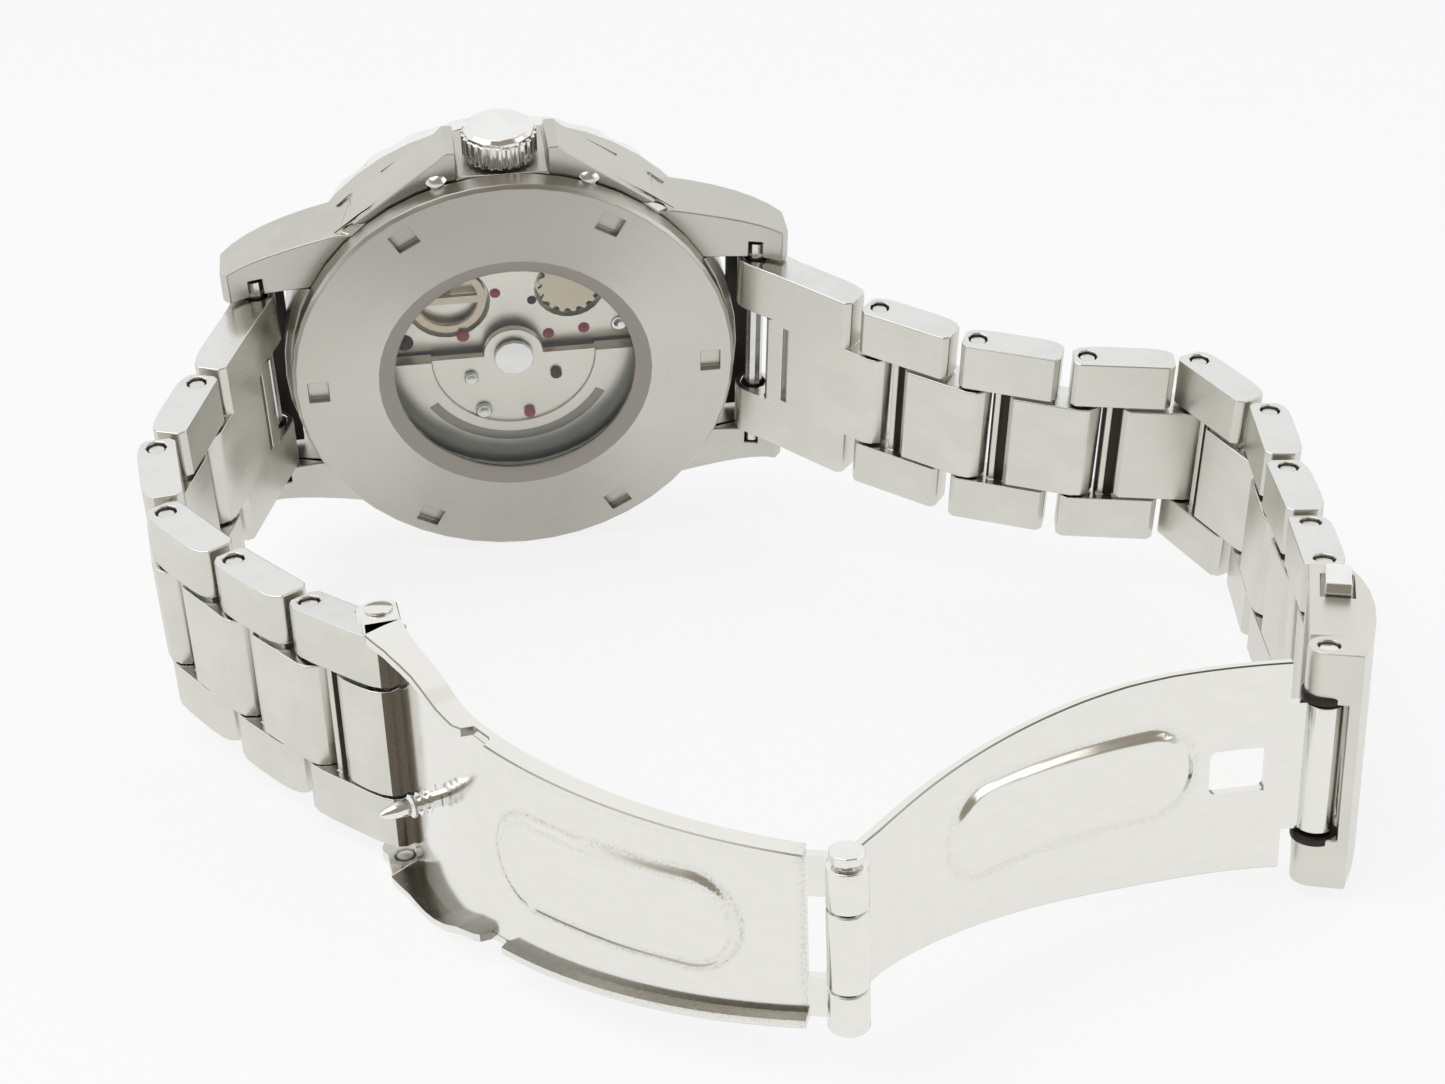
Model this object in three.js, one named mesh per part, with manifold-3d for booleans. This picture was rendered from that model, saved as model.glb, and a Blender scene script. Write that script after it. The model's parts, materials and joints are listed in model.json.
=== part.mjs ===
// Automatic steel diver's watch on a three-row bracelet with an open push-button clasp.
// Millimetres. +Z is up: the watch stands on its nine o'clock edge and the clasp stands on its
// lower lugs, +X runs from the six to the twelve o'clock side, and +Y is the dial side.
// Each bracelet piece is modelled in a link frame: x along the chain away from the case,
// y towards the wrist, z along the link pins, with its first pin at the origin.

import * as THREE from 'three';
import { mergeVertices, toCreasedNormals } from 'three/addons/utils/BufferGeometryUtils.js';
import Module from 'manifold-3d';

const wasm = await Module();
wasm.setup();

// Clearances and tolerances
const seatGap = 0.25;        // between pieces that rest on each other
const runningGap = 0.3;      // between pieces that turn or slide past each other
const overrun = 1;           // how far every cut runs past the face it opens
const weld = 0.0005;         // distance at which outline points count as one
const creaseAngle = THREE.MathUtils.degToRad(35);

// Facet counts
const fineSides = 48;
const ringSides = 32;
const hiddenSides = 24;
const smallSides = 12;
const pinSides = 10;
const holeSides = 8;
const arcSteps = 6;
const linkArcSteps = 3;
const domeSteps = 3;

// Middle case, with depths measured from the flat of the case back
const caseRadius = 19.5;
const caseBackEdge = 2.2;
const caseFrontEdge = 9.8;
const caseChamfer = 0.6;
const lugToLug = 47;
const lugGap = 18.4;
const lugTipWidth = 2.7;
const lugRootWidth = 4.8;
const lugRoot = 14;
const lugTipBack = 0.6;
const lugTipFront = 4.2;
const lugFront = 7.8;            // level of the lugs' front at their root
const springBarSpan = 42;
const springBarDepth = 2.3;
const springBarRadius = 0.75;
const springBarSocket = 1.5;
const neckRadius = 16.9;
const neckFront = 11.3;
const boreRadius = 14.6;
const crystalSeatDepth = 10.2;
const guardReach = 20.9;
const guardInner = 3.7;
const guardTip = 5.2;
const guardFoot = 12.5;          // where a guard runs out into the round case
const guardFront = 6.8;
const crownPocket = 18.7;        // level of the flat behind the crown

// Case back, window and seal
const backRadius = 18.9;
const backThickness = 1.95;
const windowRadius = 10.3;
const windowBevel = 1.4;
const windowBevelDepth = 0.6;
const backCrystalRadius = 11.2;
const backCrystalThickness = 1.2;
const backNeckRadius = 16.1;
const backNeckBore = 13.0;
const backNeckDepth = 3.6;
const backLedgeDepth = 0.9;
const notchCount = 6;
const notchWidth = 2.0;
const notchLength = 1.7;
const notchDepth = 0.6;
const notchRadius = 16.8;
const gasketRadius = 17.35;
const gasketThickness = 0.7;

// Crown
const crownRadius = 3.1;
const crownStart = 19;
const crownEnd = 21.5;
const crownDome = 0.6;
const crownDepth = 5.3;
const crownTeeth = 26;
const crownToothDepth = 0.16;
const stemRadius = 0.7;

// Bezel and front crystal
const bezelRadius = 18.8;
const bezelBack = 10.1;
const bezelFront = 12.3;
const bezelChamfer = 0.6;
const bezelTeeth = 30;
const bezelToothDepth = 0.35;
const insertOuter = 17.6;
const insertInner = 16.1;
const insertThickness = 0.45;
const crystalRadius = 15.1;
const crystalThickness = 2.2;
const crystalDome = 0.5;
const crystalGasketWall = 0.35;

// Movement, dial and hands, with depths from the flat of the case back
const rotorBack = 2.95;
const rotorStep = 0.3;
const rotorThickness = 0.7;
const rotorRimThickness = 1.35;
const rotorRadius = 12.2;
const rotorRimInner = 7.1;
const rotorHub = 2.6;
const axleHead = 1.7;
const axleRadius = 0.9;
const bridgeBack = 4.6;
const bridgeThickness = 0.9;
const bridgeRadius = 12.4;
const plateBack = 5.8;
const plateThickness = 1.6;
const plateRadius = 13.1;
const holderOuter = 14.3;
const holderInner = 13.4;
const holderThickness = 2.6;
const balanceRadius = 3.3;
const balanceX = -5.3;
const balanceZ = 5.0;
const balanceRimShare = 0.8;    // inner radius of its rim, of the outer one
const gearRadius = 2.7;
const gearX = 5.2;
const gearZ = 5.6;
const gearTeeth = 16;
const gearToothDepth = 0.35;
const wheelThickness = 0.4;
const wheelStaff = 0.35;
const dialBack = 8.1;
const dialThickness = 0.5;
const dialRadius = 14.2;
const markerRing = 11.2;
const markerRadius = 0.8;
const markerHeight = 0.25;
const handThickness = 0.25;
const hourHandLength = 7.6;
const minuteHandLength = 10.8;
const secondHandLength = 11.6;
const handPost = 0.5;
const handLevel = 0.5;
const handTipShare = 0.85;       // of a hand's length, where its point starts
const hours = 12;
const hourHandTurn = -0.16;      // turns of the dial from twelve o'clock
const minuteHandTurn = 0.15;
const secondHandTurn = 0.07;
const hourHandWidth = 1.5;
const minuteHandWidth = 1.2;
const handTail = 1.5;

// Bracelet
const endWidth = 17.9;
const firstLinkWidth = 17.5;
const lastLinkWidth = 16.0;
const centreShare = 0.53;        // of a link's width
const linkPitch = 9.0;
const linkHalfThickness = 1.5;
const centreProud = 0.1;         // how far the centre row stands proud of the outer rows
const linkLead = 1.15;           // how far a link's outer rows start before its pin
const linkGap = 0.9;             // between the outer rows of two links
const linkCorner = 0.45;
const crownedEdge = 0.75;        // half thickness of the outer side at a link's ends
const centreStart = 3.2;         // where the centre block starts past the pin
const webStart = 1.95;           // cross web seen in the gap between two centre blocks
const webWidth = 0.5;
const webHalfThickness = 0.8;
const linkPinRadius = 0.6;
const pinHoleRadius = 0.8;
const tonguePinHole = 1.02;      // wider, so that the links can lean on their pins
const endLinkLength = 12.6;
const endLinkStart = 2.0;
const hookRadius = 1.6;
const hookBore = 1.1;
const hookInner = 4.3;
const slotStart = 4.0;
const slotWidth = 0.5;
const slotHeight = 7.6;
const leftLastLength = 7.3;
const rightLastLength = 6.3;

// Clasp cover
const coverWidth = 17.0;
const coverWall = 0.7;
const coverLength = 14.3;        // between its two pins
const coverInnerSide = 1.1;
const coverOuterEnd = 2.25;
const coverBulge = 3.9;
const coverHingeRise = -0.1;     // how far its blade pin stands towards the wrist
const earInner = 4.9;
const earRadius = 1.3;
const coverTongue = 8.2;
const coverPinRadius = 0.6;

// Clasp blades
const outerBladeLength = 36.4;   // between its pins
const innerBladeLength = 39.5;
const bladePinCircle = 36.0;     // radius on which the pins lie when the clasp is shut
const bladeThickness = 0.6;
const bladeOffset = 0.9;         // from the pin circle to the middle of each blade
const barrelRadius = 1.2;
const hingePinRadius = 0.6;
const hingePinHole = 0.75;
const middleKnuckleHalf = 2.6;
const outerKnuckleStart = 2.75;
const outerKnuckleEnd = 5.45;
const outerBladeHinge = 9.9;     // widths
const outerBladeWide = 15.0;
const outerBladeNarrowEnd = 3.2;
const outerBladeTaper = 24;
const outerTongue = 9.2;
const innerBladeHinge = 11.7;
const innerBladeWide = 15.2;
const outerBladeEdge = 1.7;      // from the middle hinge pin to the plate's end
const outerBladeCoverEdge = 2.2; // from the cover pin to the plate's end
const innerBladeEdge = 2.5;
const rimHeight = 0.75;
const rimWidth = 0.7;
const rimStart = 13.6;
const lugLength = 9.9;           // side lugs that carry the pivot pin
const lugSheet = 0.65;
const lugInnerHalf = 8.75;
const lugEye = 1.55;
const lugPlateStart = 1.95;
const eyePinRadius = 0.6;
const beadLength = 19;
const beadWidth = 6.8;
const beadGroove = 0.5;
const beadDepth = 0.2;
const outerBeadCentre = 16.4;
const innerBeadCentre = 24.5;
const catchFromHinge = 5.4;      // from the cover's blade pin to the catch, along the blade
const catchHoleLength = 4.6;
const catchHoleHeight = 3.0;
const postLength = 4.3;
const postRadius = 0.55;
const postRing = 0.8;
const postTip = 0.35;
const postRings = 3;
const postRingPitch = 0.54;
const postRingRiseShare = 0.3;   // shares of the pitch, where a ring widens, ends and closes
const postRingTopShare = 0.6;
const postRingEndShare = 0.9;
const postTaperShare = 0.75;     // of the post's length, where its point starts

// Push buttons
const buttonX = 5.4;
const buttonLength = 3.2;
const buttonHeight = 1.7;
const buttonProud = 0.85;
const buttonTravel = 0.7;
const armWidth = 0.8;
const armBack = 1.55;            // level of the catch arms, outward of the cover pin
const armThickness = 0.85;
const armBeam = 4.8;
const armHook = 1.45;
const armSideStep = 1.5;

// How the watch stands: lean of the case, and the heading of each piece of the chain in degrees,
// from straight out of the case at 0 to straight back towards the wearer's wrist at 90.
const caseLean = THREE.MathUtils.degToRad(17);
const leftHeadings = [69, 72, 97, 124, 126, 131];
const rightHeadings = [45, 39, 25, 13, 71, 101, 100, 104, 112];
const leftLeanShares = [1, 0.83, 0.68, 0.5, 0.3, 0];
const rightLeanShares = [1, 0.93, 0.85, 0.76, 0.65, 0.48, 0.28, 0, 0];

// Materials
const steel = (name, color, roughness) => new THREE.MeshStandardMaterial({
  name, color, roughness, metalness: 1,
});
const brushedSteel = steel('brushed_steel', 0xb9b7b0, 0.38);
const polishedSteel = steel('polished_steel', 0xd4d3cf, 0.14);
const sheetSteel = steel('sheet_steel', 0xc8c6bf, 0.26);
const movementSteel = steel('movement_steel', 0xc2bcae, 0.34);
const brass = steel('brass', 0xb08d4a, 0.35);
const glass = new THREE.MeshStandardMaterial({
  name: 'glass', color: 0xe8eeee, roughness: 0.04, metalness: 0, transparent: true, opacity: 0.3,
});
const rubber = new THREE.MeshStandardMaterial({
  name: 'rubber', color: 0x1c1c1c, roughness: 0.8, metalness: 0,
});
const dialPaint = new THREE.MeshStandardMaterial({
  name: 'dial_paint', color: 0x14171c, roughness: 0.5, metalness: 0,
});
const bezelPaint = new THREE.MeshStandardMaterial({
  name: 'bezel_paint', color: 0x101318, roughness: 0.25, metalness: 0,
});

// Solids

function solid(geometry) {
  const bare = geometry.clone();
  bare.deleteAttribute('normal');
  bare.deleteAttribute('uv');
  const merged = mergeVertices(bare, weld);
  const index = merged.index.array;
  const triangles = [];
  for (let i = 0; i < index.length; i += 3) {
    const [a, b, c] = [index[i], index[i + 1], index[i + 2]];
    if (a !== b && b !== c && c !== a) triangles.push(a, b, c);
  }
  return new wasm.Manifold(new wasm.Mesh({
    numProp: 3,
    vertProperties: new Float32Array(merged.attributes.position.array),
    triVerts: new Uint32Array(triangles),
  }));
}

function geometryOf(manifold) {
  const mesh = manifold.getMesh();
  const geometry = new THREE.BufferGeometry();
  geometry.setAttribute('position', new THREE.BufferAttribute(mesh.vertProperties, 3));
  geometry.setIndex(new THREE.BufferAttribute(mesh.triVerts, 1));
  return geometry;
}

const join = (first, ...others) => others.reduce((all, next) => all.add(next), first);
const cut = (first, ...others) => others.reduce((rest, next) => rest.subtract(next), first);

function outline(points) {
  return new THREE.Shape(points.map(([x, y]) => new THREE.Vector2(x, y)));
}

function circle(x, y, radius) {
  return new THREE.Shape().absarc(x, y, radius, 0, Math.PI * 2);
}

// A shape in x and y, extruded along z from one height to another.
function prism(shape, zFrom, zTo, sides = arcSteps) {
  const geometry = new THREE.ExtrudeGeometry(shape, {
    depth: zTo - zFrom, bevelEnabled: false, curveSegments: sides,
  });
  return geometry.translate(0, 0, zFrom);
}

const centredPrism = (shape, width, sides) => prism(shape, -width / 2, width / 2, sides);

// A shape in x and z, extruded along y.
function slab(shape, yFrom, yTo, sides = arcSteps) {
  const geometry = new THREE.ExtrudeGeometry(shape, {
    depth: yTo - yFrom, bevelEnabled: false, curveSegments: sides,
  });
  return geometry.rotateX(Math.PI / 2).translate(0, yTo, 0);
}

function box(xFrom, xTo, yFrom, yTo, zFrom, zTo) {
  const geometry = new THREE.BoxGeometry(xTo - xFrom, yTo - yFrom, zTo - zFrom);
  return geometry.translate((xFrom + xTo) / 2, (yFrom + yTo) / 2, (zFrom + zTo) / 2);
}

// A closed profile of [radius, depth] pairs turned round the y axis.
function revolve(profile, sides = fineSides) {
  const points = profile.map(([radius, depth]) => new THREE.Vector2(radius, depth));
  if (points[0].x > 0) points.push(points[0].clone());
  return new THREE.LatheGeometry(points, sides);
}

// A round bar along z.
function bar(x, y, radius, zFrom, zTo, sides = pinSides) {
  const geometry = new THREE.CylinderGeometry(radius, radius, zTo - zFrom, sides);
  return geometry.rotateX(Math.PI / 2).translate(x, y, (zFrom + zTo) / 2);
}

function piece(name, geometry, material) {
  const bare = geometry.clone();
  bare.deleteAttribute('uv');
  const mesh = new THREE.Mesh(toCreasedNormals(bare, creaseAngle), material);
  mesh.name = name;
  return mesh;
}

// A toothed outline: each tooth is a flat top and a flat root joined by short flanks.
function toothed(radius, toothDepth, teeth) {
  const toothShares = [0.15, 0.45, 0.6, 0.9];
  const points = [];
  for (let tooth = 0; tooth < teeth; tooth += 1) {
    toothShares.forEach((share, place) => {
      const angle = ((tooth + share) / teeth) * Math.PI * 2;
      const reach = place < 2 ? radius : radius - toothDepth;
      points.push([reach * Math.cos(angle), reach * Math.sin(angle)]);
    });
  }
  return outline(points);
}

// Middle case

// Each lug reaches from a root in the case to its tip.
function lugs() {
  const lugInner = lugGap / 2;
  const lugOuter = lugInner + lugTipWidth;
  const rootX = lugRoot - lugRootWidth;
  const rootZ = lugInner + lugRootWidth;
  const tip = lugToLug / 2;
  const side = new THREE.Shape();
  side.moveTo(rootX, caseBackEdge);
  side.lineTo(lugRoot, caseBackEdge);
  side.quadraticCurveTo(springBarSpan / 2, caseBackEdge, tip - caseChamfer, lugTipBack);
  side.lineTo(tip, lugTipBack + caseChamfer);
  side.lineTo(tip, lugTipFront);
  side.quadraticCurveTo(springBarSpan / 2, lugFront, lugRoot, lugFront);
  side.lineTo(rootX, lugFront);
  const plan = outline([[rootX, lugInner], [tip + overrun, lugInner], [tip + overrun, lugOuter],
    [tip, lugOuter], [lugRoot, rootZ], [rootX, rootZ]]);
  const one = solid(prism(side, lugInner, rootZ)).intersect(
    solid(slab(plan, -overrun, caseFrontEdge)));
  const pair = [one, one.mirror([0, 0, 1])];
  return pair.flatMap((lug) => [lug, lug.mirror([1, 0, 0])]);
}

function crownGuards() {
  const foot = Math.sqrt(caseRadius ** 2 - guardFoot ** 2);
  const plan = outline([[guardInner, foot], [guardFoot, foot], [guardTip, guardReach - caseChamfer],
    [guardTip - caseChamfer, guardReach], [guardInner, guardReach]]);
  const one = solid(slab(plan, caseBackEdge, guardFront));
  return [one, one.mirror([1, 0, 0])];
}

function midCase() {
  const body = revolve([
    [0, caseBackEdge],
    [caseRadius - caseChamfer, caseBackEdge],
    [caseRadius, caseBackEdge + caseChamfer],
    [caseRadius, caseFrontEdge - caseChamfer],
    [caseRadius - caseChamfer, caseFrontEdge],
    [neckRadius, caseFrontEdge],
    [neckRadius, neckFront],
    [0, neckFront],
  ]);
  const crystalBore = crystalRadius + crystalGasketWall + 2 * seatGap;
  const threadBore = backNeckRadius + runningGap;
  const grooveInner = gasketRadius - gasketThickness / 2 - runningGap / 2;
  const grooveOuter = gasketRadius + gasketThickness / 2 + runningGap / 2;
  const bore = revolve([
    [0, -overrun],
    [threadBore, -overrun],
    [threadBore, backNeckDepth + seatGap],
    [boreRadius, backNeckDepth + seatGap],
    [boreRadius, crystalSeatDepth],
    [crystalBore, crystalSeatDepth],
    [crystalBore, neckFront + overrun],
    [0, neckFront + overrun],
  ], ringSides);
  const groove = revolve([
    [grooveInner, caseBackEdge - overrun],
    [grooveOuter, caseBackEdge - overrun],
    [grooveOuter, caseBackEdge + gasketThickness + seatGap],
    [grooveInner, caseBackEdge + gasketThickness + seatGap],
  ], ringSides);
  const stemHole = bar(0, crownDepth, stemRadius + runningGap, boreRadius - overrun,
    caseRadius + overrun, smallSides);
  const socketStart = lugGap / 2 - overrun;
  const socketEnd = lugGap / 2 + springBarSocket;
  const sockets = [-1, 1].map((side) => {
    const x = side * springBarSpan / 2;
    const hole = bar(x, springBarDepth, springBarRadius + seatGap, -socketEnd, socketEnd);
    const core = box(x - hookRadius, x + hookRadius, springBarDepth - hookRadius,
      springBarDepth + hookRadius, -socketStart, socketStart);
    return cut(solid(hole), solid(core));
  });
  const pocket = box(-guardInner, guardInner, -overrun, caseFrontEdge + overrun, crownPocket,
    caseRadius + overrun);
  const blank = join(solid(body), ...lugs(), ...crownGuards());
  return geometryOf(cut(blank, solid(bore), solid(groove), solid(stemHole), solid(pocket),
    ...sockets));
}

function caseBack() {
  const windowEdge = windowRadius + windowBevel;
  const ledge = backCrystalRadius + runningGap;
  const blank = solid(revolve([
    [windowEdge, 0],
    [backRadius - caseChamfer / 2, 0],
    [backRadius, caseChamfer / 2],
    [backRadius, backThickness],
    [backNeckRadius, backThickness],
    [backNeckRadius, backNeckDepth],
    [backNeckBore, backNeckDepth],
    [backNeckBore, backLedgeDepth + backCrystalThickness + seatGap],
    [ledge, backLedgeDepth + backCrystalThickness + seatGap],
    [ledge, backLedgeDepth],
    [windowRadius, backLedgeDepth],
    [windowRadius, windowBevelDepth],
  ]));
  const notches = [];
  for (let i = 0; i < notchCount; i += 1) {
    const notch = box(-notchWidth / 2, notchWidth / 2, -overrun, notchDepth,
      notchRadius - notchLength / 2, notchRadius + notchLength / 2);
    const turn = (i + 1 / 2) * (Math.PI * 2 / notchCount);
    notches.push(solid(notch.rotateY(turn)));
  }
  return geometryOf(cut(blank, ...notches));
}

function backCrystal() {
  const start = backLedgeDepth + seatGap;
  return revolve([[0, start], [backCrystalRadius, start],
    [backCrystalRadius, start + backCrystalThickness], [0, start + backCrystalThickness]],
  ringSides);
}

// A square-section ring: radii and depths.
function ring(inner, outer, from, to, sides = hiddenSides) {
  return revolve([[inner, from], [outer, from], [outer, to], [inner, to]], sides);
}

function backGasket() {
  const half = gasketThickness / 2;
  const start = backThickness + seatGap / 2;
  return ring(gasketRadius - half, gasketRadius + half, start, start + gasketThickness);
}

function crown() {
  const knurled = solid(prism(toothed(crownRadius, crownToothDepth, crownTeeth),
    crownStart, crownEnd - crownDome));
  const domeRadius = crownRadius - crownToothDepth;
  const dome = new THREE.LatheGeometry([
    new THREE.Vector2(0, crownStart),
    new THREE.Vector2(domeRadius, crownStart),
    new THREE.Vector2(domeRadius, crownEnd - crownDome / 2),
    new THREE.Vector2(domeRadius - crownDome / 2, crownEnd),
    new THREE.Vector2(0, crownEnd),
  ], smallSides).rotateX(Math.PI / 2);
  const head = join(knurled, solid(dome));
  return geometryOf(head).translate(0, crownDepth, 0);
}

function windingStem() {
  return bar(0, crownDepth, stemRadius, holderOuter + seatGap, crownStart - seatGap);
}

// Bezel, insert and front crystal

function bezel() {
  const outer = toothed(bezelRadius, bezelToothDepth, bezelTeeth);
  const cone = revolve([
    [0, bezelBack - overrun],
    [bezelRadius + overrun, bezelBack - overrun],
    [bezelRadius + overrun, bezelFront - bezelChamfer - overrun],
    [bezelRadius - bezelChamfer, bezelFront],
    [0, bezelFront],
  ]);
  const blank = solid(slab(outer, bezelBack, bezelFront)).intersect(solid(cone));
  const neckBore = neckRadius + runningGap;
  const crystalBore = crystalRadius + runningGap;
  const hole = revolve([
    [0, bezelBack - overrun],
    [neckBore, bezelBack - overrun],
    [neckBore, neckFront + seatGap],
    [crystalBore, neckFront + seatGap],
    [crystalBore, bezelFront + overrun],
    [0, bezelFront + overrun],
  ], ringSides);
  const recess = ring(insertInner - seatGap, insertOuter + seatGap,
    bezelFront - insertThickness, bezelFront + overrun, ringSides);
  return geometryOf(cut(blank, solid(hole), solid(recess)));
}

function bezelInsert() {
  const start = bezelFront - insertThickness + seatGap;
  return ring(insertInner, insertOuter, start, start + insertThickness, ringSides);
}

function frontCrystal() {
  const start = crystalSeatDepth + seatGap;
  const edge = start + crystalThickness - crystalDome;
  const points = [[0, start], [crystalRadius, start], [crystalRadius, edge]];
  for (let i = domeSteps - 1; i >= 0; i -= 1) {
    const radius = crystalRadius * i / domeSteps;
    points.push([radius, edge + crystalDome * (1 - (radius / crystalRadius) ** 2)]);
  }
  return revolve(points, ringSides);
}

function crystalGasket() {
  const inner = crystalRadius + seatGap;
  return ring(inner, inner + crystalGasketWall, crystalSeatDepth + seatGap, neckFront);
}

function rehautRing() {
  const outer = boreRadius - seatGap;
  const start = dialBack + dialThickness + seatGap;
  const end = crystalSeatDepth;
  return revolve([[outer - (end - start) / 2, start], [outer, start], [outer, end],
    [outer - (end - start) / 4, end]], hiddenSides);
}

// Movement

function rotor() {
  const web = new THREE.Shape();
  web.absarc(0, 0, rotorRimInner + rotorStep, Math.PI, 2 * Math.PI);
  const hub = circle(0, 0, rotorHub);
  const rim = new THREE.Shape();
  rim.absarc(0, 0, rotorRadius, Math.PI, 2 * Math.PI);
  rim.absarc(0, 0, rotorRimInner, 2 * Math.PI, Math.PI, true);
  const front = rotorBack + rotorStep;
  const blank = join(
    solid(slab(web, front, front + rotorThickness, smallSides)),
    solid(slab(hub, front, front + rotorThickness, smallSides)),
    solid(slab(rim, rotorBack, rotorBack + rotorRimThickness, smallSides)),
  );
  const bore = slab(circle(0, 0, axleRadius + seatGap), rotorBack - overrun,
    front + rotorThickness + overrun, smallSides);
  return geometryOf(cut(blank, solid(bore)));
}

function rotorAxle() {
  const hubBack = rotorBack + rotorStep;
  const headBack = backLedgeDepth + backCrystalThickness + 2 * seatGap;
  return revolve([
    [0, headBack],
    [axleHead, headBack],
    [axleHead, hubBack - seatGap],
    [axleRadius, hubBack - seatGap],
    [axleRadius, bridgeBack - seatGap],
    [0, bridgeBack - seatGap],
  ], smallSides);
}

function trainBridge() {
  const plan = new THREE.Shape();
  plan.absarc(0, 0, bridgeRadius, 0, Math.PI);
  plan.lineTo(-rotorRimInner, 0);
  plan.quadraticCurveTo(-rotorHub, -rotorRimInner, 0, -rotorHub - axleHead);
  plan.quadraticCurveTo(rotorHub, -rotorRimInner, rotorRimInner, 0);
  const blank = solid(slab(plan, bridgeBack, bridgeBack + bridgeThickness, smallSides));
  const from = bridgeBack - overrun;
  const to = bridgeBack + bridgeThickness + overrun;
  const wells = [[balanceX, balanceZ, balanceRadius], [gearX, gearZ, gearRadius]];
  const holes = wells.map(([x, z, radius]) => (
    solid(slab(circle(x, z, radius + runningGap), from, to, smallSides))));
  return geometryOf(cut(blank, ...holes));
}

function mainPlate() {
  const plateFront = plateBack + plateThickness;
  const postEnd = dialBack + dialThickness + markerHeight + 2 * handLevel - seatGap / 2;
  return revolve([
    [0, plateBack],
    [plateRadius, plateBack],
    [plateRadius, plateFront],
    [handPost, plateFront],
    [handPost, postEnd],
    [0, postEnd],
  ], hiddenSides);
}

function movementRing() {
  return ring(holderInner, holderOuter, plateBack - seatGap, plateBack - seatGap + holderThickness
    - seatGap);
}

function balanceWheel() {
  const rim = circle(0, 0, balanceRadius);
  const spokeHalf = wheelStaff;
  const rimInner = balanceRadius * balanceRimShare;
  const hole = new THREE.Path();
  const start = Math.asin(spokeHalf / rimInner);
  hole.absarc(0, 0, rimInner, start, Math.PI - start);
  const lower = new THREE.Path();
  lower.absarc(0, 0, rimInner, Math.PI + start, 2 * Math.PI - start);
  rim.holes.push(hole, lower);
  const back = bridgeBack + seatGap;
  const wheel = solid(slab(rim, back, back + wheelThickness, smallSides));
  const staff = slab(circle(0, 0, wheelStaff), back, plateBack - seatGap);
  return geometryOf(join(wheel, solid(staff))).translate(balanceX, 0, balanceZ);
}

function reductionGear() {
  const back = bridgeBack + seatGap;
  const gear = solid(slab(toothed(gearRadius, gearToothDepth, gearTeeth), back,
    back + wheelThickness));
  const staff = slab(circle(0, 0, wheelStaff), back, plateBack - seatGap);
  return geometryOf(join(gear, solid(staff))).translate(gearX, 0, gearZ);
}

function dial() {
  const face = solid(slab(circle(0, 0, dialRadius), dialBack, dialBack + dialThickness,
    smallSides));
  const hole = slab(circle(0, 0, handPost + seatGap), dialBack - overrun,
    dialBack + dialThickness + overrun);
  const front = dialBack + dialThickness;
  const markers = [];
  for (let hour = 0; hour < hours; hour += 1) {
    const angle = (hour / hours) * Math.PI * 2;
    const marker = slab(circle(markerRing * Math.cos(angle), markerRing * Math.sin(angle),
      markerRadius), front - markerHeight, front + markerHeight, arcSteps / 2);
    markers.push(solid(marker));
  }
  return geometryOf(cut(join(face, ...markers), solid(hole)));
}

// A hand points from the centre along +z, turned by the given angle round the dial's axis.
function hand(length, width, tail, level, turnShare) {
  const plan = outline([
    [-width / 2, -tail], [width / 2, -tail], [width / 2, length * handTipShare], [0, length],
    [-width / 2, length * handTipShare],
  ]);
  const back = dialBack + dialThickness + markerHeight + level;
  const blade = solid(slab(plan, back, back + handThickness));
  const hub = solid(slab(circle(0, 0, handPost + 2 * seatGap), back, back + handThickness));
  const turned = geometryOf(join(blade, hub)).rotateY(turnShare * Math.PI * 2);
  return { turned, back };
}

function boredHand(length, width, tail, level, turnShare) {
  const { turned, back } = hand(length, width, tail, level, turnShare);
  const bore = slab(circle(0, 0, handPost + seatGap / 2), back - overrun,
    back + handThickness + overrun);
  return geometryOf(cut(solid(turned), solid(bore)));
}

// Bracelet links

// Side view of a link row: flat towards the wrist, crowned on the outside.
function rowShape(xFrom, xTo, proud) {
  const half = linkHalfThickness + proud;
  const shape = new THREE.Shape();
  shape.moveTo(xFrom + linkCorner, half);
  shape.lineTo(xFrom, half - linkCorner);
  shape.lineTo(xFrom, -crownedEdge);
  shape.quadraticCurveTo(xFrom + linkCorner, -half, xFrom + 2 * linkLead, -half);
  shape.lineTo(xTo - 2 * linkLead, -half);
  shape.quadraticCurveTo(xTo - linkCorner, -half, xTo, -crownedEdge);
  shape.lineTo(xTo, half - linkCorner);
  shape.lineTo(xTo - linkCorner, half);
  return shape;
}

function pinHole(x, radius) {
  return solid(bar(x, 0, radius, -coverWidth, coverWidth, holeSides));
}

// Centre block whose far end is a round tongue about the next pin.
function tongueShape(xFrom, pinX, proud) {
  const half = linkHalfThickness + proud;
  const shape = new THREE.Shape();
  shape.moveTo(xFrom + linkCorner, half);
  shape.lineTo(xFrom, half - linkCorner);
  shape.lineTo(xFrom, -half + linkCorner);
  shape.lineTo(xFrom + linkCorner, -half);
  shape.lineTo(pinX, -half);
  shape.absarc(pinX, 0, half, -Math.PI / 2, Math.PI / 2);
  return shape;
}

function rows(shape, width, centreWidth) {
  const blank = solid(centredPrism(shape, width, linkArcSteps));
  const middle = box(-overrun - endLinkLength, linkPitch * 2, -linkPitch, linkPitch,
    -centreWidth / 2, centreWidth / 2);
  return cut(blank, solid(middle));
}

function crossWeb(width) {
  return solid(box(webStart, webStart + webWidth, -webHalfThickness, webHalfThickness,
    -width / 2 - seatGap, width / 2 + seatGap));
}

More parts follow.
